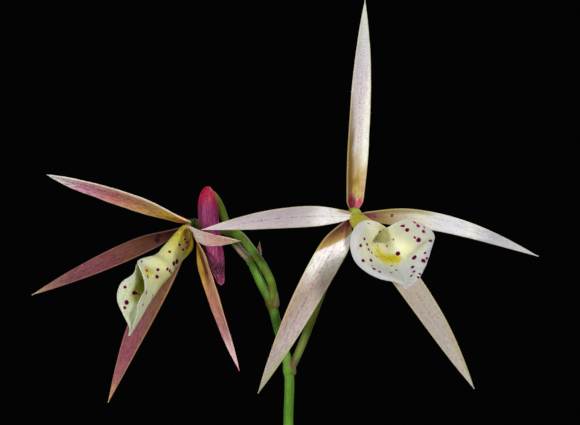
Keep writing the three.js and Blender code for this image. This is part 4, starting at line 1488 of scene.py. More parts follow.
@dataclass
class Cane:
    """A slim jointed bulb, green and lined, in the torn papery sheaths that it grew in.

    `sheaths` are (start, end, where it is open) along it, the last in turns.
    """

    number: int
    foot: tuple[float, float]
    height: float
    lean: tuple[float, float]
    sheaths: tuple[Point, ...]
    foot_height: float = 95.0
    radius: float = 5.0
    rings: int = 110
    sides: int = 48

    PROFILE = (
        (0, 0.62), (0.06, 0.72), (0.22, 0.86), (0.24, 0.98), (0.5, 1),
        (0.52, 1.1), (0.76, 0.9), (0.78, 0.98), (0.96, 0.66), (1, 0.6),
    )
    JOINTS = (0.06, 0.24, 0.52, 0.78)

    def foot_point(self) -> Array:
        """Where it stands, in the middle of the rhizome."""
        return vec(*self.foot, self.foot_height)

    def top_point(self) -> Array:
        """The middle of its neck."""
        return self.foot_point() + vec(*self.lean, self.height)

    def line(self, count: int) -> Array:
        """Points along its middle."""
        foot, top = self.foot_point(), self.top_point()
        middle = (foot + top) / 2 - vec(*self.lean, 0) * 0.2
        return curve_through([foot, middle, top], count)

    def girth(self, share: Array) -> Array:
        """Its radius along it."""
        return self.radius * smoothed(self.PROFILE, share)

    def body(self, material: Material) -> Mesh:
        """The bulb itself, with shallow lengthwise ribs and raised rings at its joints."""
        share = np.linspace(0, 1, self.rings)
        turn = turns_of(self.sides)
        ribs = 0.012 * np.cos(9 * turn + self.number) + 0.008 * np.cos(14 * turn + 2.0 * self.number)
        radii = self.girth(share)[:, None] * (1 + ribs[None])
        for joint in self.JOINTS:
            radii = radii + 0.28 * peak(share, joint, 0.008)[:, None]
        closing = round_end(share, 0.975, 0.0252)
        return Tube(self.line(self.rings), radii * closing[:, None]).build(material)

    def sheath(self, start: float, end: float, opening: float, seed: int) -> Sheet:
        """One papery sheath that wraps the bulb, torn along its top and split down one side.

        Args:
            start: Where it starts along the bulb.
            end: Where its longest point ends.
            opening: Where round the bulb it is split, in turns.
            seed: Seeds its torn edge.

        Returns:
            The sheath as a sheet.
        """
        line = self.line(200)
        first, second = directions_along(line, vec(1, 0, 0))
        u, v = sheet_places(26, 64)
        torn = 0.74 + 0.1 * ripple(v, seed, 5, 1.4) + 0.16 * np.cos(math.pi * v) - 0.12 * np.abs(v) ** 6
        share = np.clip(start + (end - start) * u * torn, 0, 1)
        turn = 2 * math.pi * opening + math.pi * (1 + 0.955 * v)
        lift = 0.3 + 0.22 * (1 + ripple(v + 0.3 * u, seed + 5, 4, 1.1)) * u + 0.9 * u**6
        radius = self.girth(share) + lift + 0.1 * v
        index = share * (len(line) - 1)
        middle, ahead, aside = (
            np.stack([np.interp(index, np.arange(len(line)), table[:, axis]) for axis in range(3)], -1)
            for table in (line, first, second)
        )
        around = ahead * np.cos(turn)[..., None] + aside * np.sin(turn)[..., None]
        grid = middle + around * radius[..., None]
        spread = np.stack([share * self.height, v * math.pi * self.radius], -1)
        thickness = np.full(u.shape, 0.3) * (1 - 0.5 * u)
        return Sheet(grid, thickness, u, v, spread)

    def build(self, skin: Material, paper: Material) -> None:
        """Makes the bulb and its sheaths."""
        show(f"cane_{self.number}_fine", self.body(skin), "canes", f"cane_{self.number}")
        for order, (start, end, opening) in enumerate(self.sheaths):
            sheet = self.sheath(start, end, opening, SEED + 10 * self.number + order)
            show(f"cane_{self.number}_sheath_{order + 1}", sheet.build(paper), "canes")


CANES = (
    Cane(1, (-33, 20), 56, (-9, 6), ((0.03, 0.36, 0.1), (0.24, 0.66, 0.6))),
    Cane(2, (-20, 11), 62, (-3, 9), ((0.03, 0.34, 0.7), (0.24, 0.6, 0.2))),
    Cane(3, (-7, 3), 70, (-8, -3), ((0.03, 0.33, 0.4), (0.24, 0.7, 0.9))),
    Cane(4, (6, -5), 82, (-1, 2), ((0.03, 0.32, 0), (0.24, 0.62, 0.45), (0.52, 0.86, 0.8))),
    Cane(5, (19, -13), 40, (6, -5), ((0.03, 0.5, 0.3), (0.24, 0.86, 0.75))),
)
FLOWERING_CANE = CANES[3]
STEM_SIDE = vec(-2.2, -1.8, 0)


@dataclass
class Rhizome:
    """The creeping stem that the canes stand on, with its roots over and into the bark."""

    sweeper: Sweeper
    radius: float = 4.0
    root_radius: float = 1.3
    arch: float = 5.0
    depth: float = 14.0
    bark_top: float = 90.0
    roots: tuple[tuple[float, float, float, float], ...] = (
        (-33, 20, -44, 4), (-26, 15, -16, 38), (-14, 7, -24, -16), (-2, 0, 12, 24),
        (6, -5, -6, -32), (14, -10, 38, 8), (19, -13, 24, -38),
    )

    def body(self) -> list[Strand]:
        """The rhizome, with a ring where each of its joints was, and a young shoot at its end."""
        feet = [cane.foot_point() for cane in CANES]
        first, last = feet[0] + vec(-8, 5, -1), feet[-1] + vec(7, -4, 1)
        count = 150
        share = np.linspace(0, 1, count)
        line = curve_through([first, *feet, last], count)
        from_end = np.minimum(1, 0.12 + 3.2 * np.minimum(share, 1 - share))
        radii = self.radius * (0.55 + 0.45 * np.sin(math.pi * from_end / 2))
        radii = radii + 0.3 * sum(peak(share, joint, 0.006) for joint in np.linspace(0.06, 0.94, 15))
        radii = radii * round_end(-share, -0.03, 0.0301) * round_end(share, 0.95, 0.0501)
        return [Strand(line, np.maximum(radii, 0.05))]

    def root(self, number: int, x: float, y: float, end_x: float, end_y: float) -> Strand:
        """One root: it arches off the rhizome, runs over the bark and turns down into it."""
        start = vec(x, y, self.bark_top + 5)
        end = vec(end_x, end_y, self.bark_top + 5)
        near, far = start + (end - start) * 0.35, start + (end - start) * 0.75
        near[2], far[2] = self.bark_top + 6 + self.arch, self.bark_top + 5 + self.arch
        over = end + vec(0, 0, 1)
        down = vec(end_x, end_y, self.bark_top - self.depth)
        count = 120
        line = curve_through([start, near, far, over, down], count)
        share = np.linspace(0, 1, count)
        fade = smoothstep(share, 0.05, 0.2) * (1 - smoothstep(share, 0.75, 0.95))
        for axis in range(3):
            line[:, axis] += 0.55 * fade * ripple(share, SEED + 7 * number + axis, 4, 1.6)
        radii = self.root_radius * (1 + 0.09 * ripple(share, SEED + number, 5, 3))
        return Strand(line, radii)

    def build(self) -> None:
        """Makes the rhizome and its roots."""
        woody = RootFinish("rhizome_skin", brown_share=0.45).paint()
        silvery = RootFinish("root_skin", brown_share=0.05).paint()
        body = self.sweeper.sweep(self.body(), woody, 56, 11.0, 0.08, 0.35, 420.0)
        show("rhizome_body", body, "roots", "rhizome_with_roots")
        strands = [self.root(number, *root) for number, root in enumerate(self.roots)]
        roots = self.sweeper.sweep(strands, silvery, 24, 5.0, 0.03, 0.22, 900.0)
        show("root_strands", roots, "roots", "rhizome_with_roots")


@dataclass
class Leaf:
    """One thick channelled leaf on the neck of a cane."""

    cane: Cane
    tip: Point
    bow: Point
    face: Point
    half_width: float
    aside: float = 0.0
    seat: float = 0.75
    thick: float = 1.7

    def blade(self) -> Blade:
        """Its shape."""
        start = self.cane.top_point() + vec(0, 0, self.seat - 1.6) - STEM_SIDE * self.aside
        outline = {"base": 0.28, "peak": 0.55, "taper": 3.2, "cup": 0.1, "fold": 0.34}
        skin = {"thick": self.thick, "edge": 0.7, "wave": 0.35, "keel": 0.5, "rows": 150, "columns": 32}
        seed = SEED + self.cane.number
        places = (tuple(start), self.tip, self.bow, self.face)
        return Blade(*places, self.half_width, seed=seed, **outline, **skin)

    def build(self) -> None:
        """Makes the leaf, older and more marked on the older canes."""
        number = self.cane.number
        finish = LeafFinish(f"leaf_skin_{number}", age=0.17 - 0.028 * number)
        mesh = self.blade().sheet().build(finish.paint())
        show(f"leaf_{number}_fine", mesh, "leaves", f"leaf_{number}")


LEAVES = (
    Leaf(CANES[0], (-112, 34, 214), (-4, 2, 24), (0.3, -0.2, 1), 11.5),
    Leaf(CANES[1], (-44, 92, 232), (3, -6, 22), (0.2, -0.5, 1), 12),
    Leaf(CANES[2], (-74, -40, 268), (-12, -6, 12), (0.9, 0.5, 0.6), 12.5),
    Leaf(CANES[3], (60, 46, 280), (10, 9, 16), (-0.7, -0.8, 0.5), 12.5, aside=0.9),
    Leaf(CANES[4], (56, -50, 196), (5, -4, 10), (-0.6, 0.6, 1), 8),
)

STEM_BASE = FLOWERING_CANE.top_point() + STEM_SIDE + vec(0, 0, 0.4)
NODE_2 = vec(-0.4, 0, 327)
NODE_1 = vec(-5.4, 0, 346)
NODE_BUD = vec(-11, 1, 358)
CENTRE_1 = vec(-28.7, 5.5, 368.7)
CENTRE_2 = vec(18, -12, 371.4)
BUD_TOP = vec(-23.2, 1.5, 377.7)
FORWARD_1 = unit(vec(-0.609, -0.624, -0.491))
FORWARD_2 = unit(vec(0.34, -0.898, -0.28))
CAP_RADIUS = 2.1
GAP = 0.4


@dataclass
class Bract:
    """A small pointed scale that wraps the stem at a node, open on one side.

    It stands in `direction` from `foot` and its open side is turned by `opening` turns.
    """

    foot: Point
    direction: Point
    length: float
    radius: float
    opening: float
    wrap: float = 0.82
    seed: int = 1

    def sheet(self) -> Sheet:
        """Its shape."""
        u, v = sheet_places(30, 28)
        axis = unit(vec(*self.direction))
        line = vec(*self.foot) + axis * np.linspace(0, self.length, 5)[:, None]
        first, second = directions_along(line, vec(1, 0, 0))
        turn = 2 * math.pi * self.opening + math.pi * (1 + self.wrap * v * (1 - 0.55 * u**2))
        radius = self.radius * (1 - 0.72 * u**1.7) * (0.8 + 0.2 * smoothstep(u, 0, 0.2))
        radius = radius + 0.12 * ripple(u + v, self.seed, 3) * u
        rise = self.length * u * (1 - 0.3 * np.abs(v) ** 1.5)
        around = first[0] * np.cos(turn)[..., None] + second[0] * np.sin(turn)[..., None]
        grid = vec(*self.foot) + axis * rise[..., None] + around * radius[..., None]
        spread = np.stack([rise, turn * self.radius], -1)
        return Sheet(grid, np.full(u.shape, 0.26) * (1 - 0.5 * u), u, v, spread)


@dataclass
class FlowerStem:
    """The tall stem with the stalks of both flowers and of the bud, and its bracts."""

    sweeper: Sweeper
    radius: float = 1.55
    stalk_radius: float = 1.1

    def stem(self) -> Strand:
        """The stem, slightly swollen at its nodes."""
        foot = [STEM_BASE, (STEM_BASE[0] - 0.5, STEM_BASE[1] + 0.5, 205)]
        middle = [(1.2, -2, 250), (-0.2, -0.5, 290), (-0.5, 0, 312), NODE_2]
        line = curve_through([*foot, *middle, (-3.2, 0, 338), NODE_1, (-8.6, 0.6, 352.4), NODE_BUD], 420)
        radii = self.radius * (1.1 - 0.28 * np.linspace(0, 1, len(line)))
        for node in (NODE_2, NODE_1):
            radii = radii + 0.3 * peak(np.linalg.norm(line - node, axis=1), 0.0, 1.3)
        return Strand(line, radii)

    def stalk(self, *knots: Sequence[float], grow: float = 0.25, start: float = 1) -> Strand:
        """One flower's stalk, which widens by `grow` towards the flower."""
        line = curve_through(knots, 110)
        share = np.linspace(0, 1, len(line))
        return Strand(line, self.stalk_radius * (start + grow * share) + 0.35 * peak(share, 0, 0.05))

    def strands(self) -> list[Strand]:
        """Everything green that is swept: the stem, the three stalks and the flowers' caps."""
        knots_1 = (
            (-5, -0.8, 350.5), (-7.6, -1.3, 356.6), (-11, -0.8, 361.4),
            (-14.8, 1.4, 365.6), (-19.6, 4.6, 367.2), (-24.5, 6.4, 367.9),
        )
        knots_2 = (
            (1.3, 1.2, 329.6), (3.8, 3.2, 335), (8, 6, 346),
            (12.4, 4.6, 358), (15.6, -2.6, 366.4),
        )
        knots_bud = (
            (-14.6, 3.4, 361.6), (-17.6, 5.6, 365.6), (-18.9, 6.2, 370.2),
            (-20.3, 5.2, 374), (-21.9, 3.2, 376.6),
        )
        return [
            self.stem(),
            self.stalk(NODE_1, *knots_1, CENTRE_1 - FORWARD_1 * 0.8),
            self.stalk(NODE_2, *knots_2, CENTRE_2 - FORWARD_2 * 0.8),
            self.stalk(NODE_BUD, *knots_bud, BUD_TOP, grow=0.1, start=0.95),
            Strand.ball(CENTRE_1, FORWARD_1, 1.5),
            Strand.ball(CENTRE_2, FORWARD_2, CAP_RADIUS),
            Strand.ball(NODE_BUD, vec(-0.3, 0, 1), 1.5),
            Strand.ball(BUD_TOP, vec(0, -1, 0), 1.2),
        ]

    def skin(self) -> Material:
        """The green skin, with the flushes of both flowers' stalks and of the bud's."""
        brown, olive, tan = tint(88, 72, 10), tint(82, 92, 10), tint(156, 126, 108)
        flushes = (
            ((-5, -0.8, 350.5), 3.4, olive),
            ((-7, -1.3, 355.2), 2.9, olive),
            ((-9.2, -1.3, 359.2), 2.9, olive),
            ((-12.8, 0.3, 363.8), 3.4, olive),
            ((-17.2, 3, 366.6), 3.6, olive),
            ((7, 5.2, 343), 11, tint(104, 110, 34)),
            ((-18.6, 6, 369.4), 4.6, olive),
            ((-20.2, 5.2, 373.8), 3.8, olive),
            ((3, 2.6, 333.4), 5, tint(112, 120, 52)),
            (tuple(NODE_1), 3.2, brown),
            (tuple(NODE_2 + vec(0.8, 0.5, 1.6)), 3, tint(110, 72, 60)),
            (tuple(NODE_BUD + vec(-2.2, 1.6, 2.4)), 4.4, tan),
            (tuple(NODE_BUD), 2, tint(84, 52, 26)),
            (tuple(BUD_TOP), 5, tint(122, 112, 30)),
            (tuple(CENTRE_1), 3, tint(64, 84, 12)),
            (tuple(CENTRE_2), 4, tint(168, 176, 70)),
        )
        return StalkFinish(flushes=flushes).paint()

    def build(self) -> None:
        """Makes the stem, its bracts and the sheath at its foot."""
        mesh = self.sweeper.sweep(self.strands(), self.skin(), 32, 7.0, 0.03, 0.06, 900.0)
        show("flower_stem_fine", mesh, "stem", "flower_stem")
        dry = ScaleFinish("bract_skin", tint(176, 140, 116), tint(126, 84, 62), tint(168, 122, 104)).paint()
        mossy = ScaleFinish("lower_bract_skin", tint(98, 96, 30), tint(70, 58, 12), tint(96, 84, 34)).paint()
        pale = ScaleFinish("spathe_skin", tint(178, 176, 112), tint(126, 104, 58), tint(138, 150, 78)).paint()
        foot = tuple(STEM_BASE + vec(0, 0, -1.5))
        scales = (
            ("bract_1", mossy, Bract((-4.9, -0.2, 345), (0.12, -0.1, 1), 5, 1.75, 0.45, 0.45, 3)),
            ("bract_2", mossy, Bract((-0.1, 0.1, 325.8), (0.32, 0, 1), 3.6, 1.6, 0.45, 0.4, 4)),
            ("bract_3", dry, Bract((-9.9, 0.8, 356.8), (0.12, 0.1, 1), 7, 1.75, 0.625, 0.5, 5)),
            ("stem_sheath", pale, Bract(foot, (-0.06, -0.04, 1), 24, 2.5, 0.15, 0.9, 9)),
        )
        for name, skin, scale in scales:
            show(name, scale.sheet().build(skin), "stem")


@dataclass
class Bud:
    """The closed bud that hangs from the bend of its stalk: three seams and a parted tip."""

    radius: float = 2.9
    seam_depth: float = 0.1
    seam_width: float = 0.16
    rings: int = 150
    sides: int = 90

    PROFILE = (
        (0, 0.22), (0.05, 0.62), (0.13, 0.9), (0.28, 1), (0.55, 0.93),
        (0.75, 0.8), (0.9, 0.5), (0.97, 0.32), (1, 0.1),
    )
    KNOTS = (
        (-23.6, -1, 379.4), (-23.4, -1.2, 372.5), (-22.7, -1.2, 366),
        (-21.2, -1.2, 359), (-19.6, -1, 351.2),
    )

    def body(self) -> Tube:
        """Its shape."""
        share = np.linspace(0, 1, self.rings)[:, None]
        turn = turns_of(self.sides)[None]
        radii = self.radius * smoothed(self.PROFILE, share[:, 0])[:, None] * np.ones_like(turn)
        twist = 0.5 * share + 0.35
        for seam in range(3):
            gap = (turn - twist - seam * 2 * math.pi / 3 + math.pi) % (2 * math.pi) - math.pi
            radii = radii * (1 - self.seam_depth * (0.6 + share) * peak(gap, 0, self.seam_width))
        tip = smoothstep(share, 0.88, 1)
        parted = tip * (1 + np.cos(3 * (turn - twist) + math.pi)) / 2
        radii = radii * (1 + 0.5 * parted - 0.25 * tip)
        ribs = 0.012 * np.cos(15 * (turn - twist)) * smoothstep(share, 0.1, 0.3)
        line = curve_through(self.KNOTS, self.rings)
        return Tube(line, radii * (1 + ribs) * round_end(share, 0.985, 0.0152))

    def build(self) -> None:
        """Makes the bud."""
        show("bud_fine", self.body().build(BudFinish().paint()), "bud", "bud")


@dataclass(frozen=True)
class Spot:
    """One round spot on a lip: its place along and across it, its radius and its strength."""

    along: float
    across: float
    radius: float = 0.42
    strength: float = 1.0


@dataclass
class Lip:
    """The lip: one sheet that wraps the column as a tube and opens into a spotted limb.

    `stations` hold, for places along it, first for its left half and then for its right half: the
    half's width, measured round the sheet, the angle that the sheet has turned up by half way to
    its edge and at its edge, and how far the edge is swept back. `keel` holds how far its midline
    lies below the column's line and to the side of it. `spots` are rows of what a Spot takes.
    """

    flower: str
    centre: Array
    tip: Point
    up: Point
    stations: tuple[tuple[float, ...], ...]
    keel: tuple[Point, ...]
    spots: tuple[tuple[float, ...], ...]
    finish: LipFinish
    start: float = 3.2
    first: float = -0.05
    ruffle: float = 0.45
    thickness: float = 0.5
    rows: int = 170
    columns: int = 60
    seed: int = 1

    def directions(self) -> tuple[Array, Array, Array]:
        """Along the lip, across it and up towards the column's side."""
        axis = unit(vec(*self.tip) - self.centre)
        side = unit(np.cross(axis, unit(vec(*self.up))))
        return axis, side, unit(np.cross(side, axis))

    def section(self, within: Array, first: int) -> tuple[Array, Array, Array, Array]:
        """How far sideways and up one half of the sheet has gone at each column.

        Args:
            within: The places along the lip.
            first: Which number of a station is the first of this half's four.

        Returns:
            The two distances from the midline, how far back each point is swept and the half's
            width, each with a row for each place.
        """
        half, middle, edge, sweep = (smoothed(self.stations, within, first + k)[:, None] for k in range(4))
        fine = 6
        steps = fine * self.columns
        t = ((np.arange(steps) + 0.5) / steps)[None]
        turn = np.radians(middle) * 4 * t * (1 - t) + np.radians(edge) * t * (2 * t - 1)
        sideways = np.cumsum(np.cos(turn), axis=1)[:, fine - 1 :: fine] * (half / steps)
        upward = np.cumsum(np.sin(turn), axis=1)[:, fine - 1 :: fine] * (half / steps)
        share = np.arange(1, self.columns + 1)[None] / self.columns
        return sideways, upward, sweep * share**2, half + 0 * share

    def sheet(self) -> Sheet:
        """Its shape, with the ruffled edge, the keels of the throat and its spots."""
        axis, side, rise = self.directions()
        along = np.linspace(self.first, 1, self.rows + 1)
        within = np.maximum(along, 0)
        left, right = self.section(within, 1), self.section(within, 5)
        zero = np.zeros((self.rows + 1, 1))
        sideways, upward, back, half = (
            np.concatenate([sign * b[:, ::-1], zero + (b[:, :1] if k == 3 else 0), a], axis=1)
            for k, (a, b, sign) in enumerate(zip(left, right, (-1, 1, 1, 1)))
        )
        length = float(np.linalg.norm(vec(*self.tip) - self.centre)) - self.start
        keel = self.centre + axis * (self.start + length * along)[:, None]
        down, aside = (smoothed(self.keel, within, index)[:, None] for index in (1, 2))
        keel = keel - rise * down + side * aside
        closer = (1 + 2.6 * np.minimum(along, 0))[:, None]
        grid = (
            keel[:, None]
            + side * (closer * sideways)[..., None]
            + rise * (closer * upward)[..., None]
            - axis * back[..., None]
        )
        across = np.linspace(-1, 1, 2 * self.columns + 1)
        u, v = np.meshgrid(along, across, indexing="ij")
        body = Sheet(grid, np.full(u.shape, self.thickness), u, v, np.stack([u * length, v * half], -1))
        waves = np.where(v > 0, ripple(u, self.seed, 4, 2.6), ripple(u, self.seed + 9, 4, 2.6))
        ruffle = self.ruffle * waves * smoothstep(np.abs(v), 0.55, 1.0) * smoothstep(u, 0.42, 0.55)
        throat = smoothstep(u, 0.2, 0.34) * (1 - smoothstep(u, 0.5, 0.62))
        keels = 0.45 * sum(peak(v, place, 0.035) for place in (-0.1, 0, 0.1)) * throat
        veins = 0.03 * np.cos(30 * v) * smoothstep(u, 0.2, 0.5) * (1 - smoothstep(u, 0.7, 0.85))
        lifted = ruffle * (1 - u**8) + keels + veins
        grid = grid + body.normals() * lifted[..., None]
        thickness = self.thickness * (1 - 0.55 * smoothstep(np.abs(v), 0.8, 1.0))
        thickness = thickness * np.minimum(1, 0.3 + 5 * (1 - u))
        return Sheet(grid, thickness, u, v, body.spread, {"pigment": self.pigment(grid)})

    def pigment(self, grid: Array) -> Array:
        """How strongly each point of the sheet is spotted: 0 for clear skin up to 1 in a spot."""
        total = np.zeros(grid.shape[:2])
        across = np.linspace(-1, 1, 2 * self.columns + 1)
        rows = np.linspace(self.first, 1, self.rows + 1)
        for order, spot in enumerate(Spot(*place) for place in self.spots):
            row = float(np.interp(spot.along, rows, np.arange(len(rows))))
            column = float(np.interp(spot.across, across, np.arange(len(across))))
            low_row, low_column = min(int(row), self.rows - 1), min(int(column), 2 * self.columns - 1)
            part_row, part_column = row - low_row, column - low_column
            cell = grid[low_row : low_row + 2, low_column : low_column + 2]
            across_part = cell[:, 0] * (1 - part_column) + cell[:, 1] * part_column
            middle = across_part[0] * (1 - part_row) + across_part[1] * part_row
            gap = grid - middle
            bearing = 5.0 * gap @ unit(vec(math.sin(order), math.cos(2 * order), math.sin(3 * order + 1)))
            share = np.linalg.norm(gap, axis=-1) / (spot.radius * (1 + 0.12 * np.tanh(bearing)))
            total = np.maximum(total, spot.strength * (1 - smoothstep(share, 0.6, 1.35)))
        return total

    def column(self) -> Tube:
        """The short club that the lip wraps, with its rounded cap."""
        axis, _, rise = self.directions()
        foot = self.centre + axis * (CAP_RADIUS - 0.3)
        end = foot + axis * 9.6 + rise * 0.6
        share = np.linspace(0, 1, 60)[:, None]
        radii = (0.9 + 0.6 * share**2) * (1 + 0.05 * np.cos(2 * turns_of(32)))
        radii = radii - 0.16 * peak(share, 0.84, 0.02)
        return Tube(foot + (end - foot) * share, radii * round_end(share, 0.9, 0.1001), rise)

    def build(self) -> None:
        """Makes the lip and the column."""
        lip = self.sheet().build(self.finish.paint())
        show(f"{self.flower}_lip_fine", lip, "lips", f"{self.flower}_lip")
        finish = ColumnFinish(f"{self.flower}_column_skin")
        column = self.column().build(finish.paint())
        show(f"{self.flower}_column_fine", column, "columns", f"{self.flower}_column")


class Tepal(Enum):
    """The five tepals of a flower, and the seat that each kind has on the flower's cap."""

    DORSAL_SEPAL = "dorsal_sepal"
    RIGHT_PETAL = "right_petal"
    LEFT_PETAL = "left_petal"
    RIGHT_SEPAL = "right_sepal"
    LEFT_SEPAL = "left_sepal"

    @property
    def forward(self) -> float:
        """How far in front of the flower's centre it starts."""
        return 0.8 if self.value.endswith("petal") else -0.7

    @property
    def out(self) -> float:
        """How far out from there it starts."""
        return CAP_RADIUS + GAP if self.value.endswith("petal") else CAP_RADIUS + GAP + 0.35


@dataclass
class TepalPlan:
    """Where one tepal's tip is, how it bows, faces and tapers, and its skin.

    `shape` is its base, peak, taper and cup, as a Blade has them.
    """

    tepal: Tepal
    tip: Point
    bow: Point
    face: Point
    half_width: float
    shape: tuple[float, float, float, float]
    finish: TepalFinish


@dataclass
class Flower:
    """One star-shaped flower: five narrow tepals round a cap, a lip and a column."""

    name: str
    forward: Array
    slot: str
    lip: Lip
    tepals: tuple[TepalPlan, ...]

    def blade(self, plan: TepalPlan, order: int) -> Blade:
        """The shape of one tepal."""
        axis = tuple(self.lip.directions()[0])
        hub = self.lip.centre + self.forward * plan.tepal.forward
        aim = unit(vec(*plan.tip) - hub + 3 * vec(*plan.bow))
        start = tuple(hub + aim * plan.tepal.out)
        skin = {"fold": 0.1, "thick": 0.62, "wave": 0.16, "root": 2.0, "rows": 134, "columns": 24}
        seed = SEED + 100 + order
        places = (start, plan.tip, plan.bow, plan.face)
        return Blade(*places, plan.half_width, axis, *plan.shape, **skin, seed=seed)

    def build(self) -> None:
        """Makes the tepals, the lip and the column."""
        for order, plan in enumerate(self.tepals):
            node = f"{self.name}_{plan.tepal.value}"
            mesh = self.blade(plan, order).sheet().build(plan.finish.paint(f"{node}_skin"))
            show(f"{node}_fine", mesh, self.slot, node)
        self.lip.build()


# The spots of each lip: place along it, place across it, radius, and strength where it is faint.
SPOTS_1 = (
    (0.13, -0.69, 0.3), (0.14, -0.6, 0.26), (0.13, -0.58, 0.26), (0.14, -0.5, 0.3),
    (0.18, -0.69, 0.34), (0.16, -0.49, 0.3), (0.19, -0.53, 0.34), (0.26, -0.75, 0.4),
    (0.29, -0.41, 0.64), (0.33, -0.46, 0.6), (0.33, -0.3, 0.36), (0.42, -0.5, 0.38),
    (0.41, -0.43, 0.4), (0.41, -0.34, 0.4), (0.47, -0.6), (0.51, -0.47, 0.52),
    (0.53, -0.73, 0.36), (0.57, -0.68), (0.71, -0.79), (0.69, 0.84), (0.77, 0.62, 0.66),
    (0.82, 0.7, 0.45), (0.67, 0.52, 0.66), (0.66, 0.43, 0.34), (0.65, 0.35, 0.24),
    (0.65, -0.33, 0.3), (0.66, -0.26, 0.35), (0.5, -0.94, 0.26), (0.78, -0.65, 0.4, 0.5),
)
SPOTS_2 = (
    (0.52, 0.73, 0.38), (0.56, 0.79), (0.53, 0.63, 0.38), (0.55, 0.58, 0.38),
    (0.55, 0.48, 0.32), (0.54, 0.32), (0.63, 0.83, 0.44), (0.62, 0.62, 0.46),
    (0.67, 0.72, 0.3, 0.45), (0.7, 0.77, 0.44), (0.73, 0.71, 0.36), (0.73, 0.26, 0.32),
    (0.42, 0.86, 0.36), (0.47, 0.94, 0.3, 0.4), (0.61, 0.03, 0.26), (0.68, -0.01, 0.32),
    (0.46, -0.89), (0.48, -0.79, 0.52), (0.49, -0.96, 0.36), (0.5, -0.92, 0.36),
    (0.51, -0.96, 0.3, 0.7), (0.52, -0.88), (0.51, -0.71, 0.34), (0.53, -0.71, 0.64),
    (0.59, -0.92, 0.5), (0.41, -0.62, 0.26), (0.49, -0.29, 0.62), (0.67, -0.84, 0.32),
    (0.66, -0.55, 0.7), (0.73, -0.87, 0.6), (0.71, -0.95, 0.36), (0.74, -0.51, 0.5),
    (0.8, -0.55), (0.83, -0.43), (0.85, -0.91, 0.36), (0.88, -0.93, 0.36),
    (0.44, -0.93, 0.3, 0.3), (0.36, -0.35, 0.36, 0.5), (0.3, -0.15, 0.3, 0.5),
)


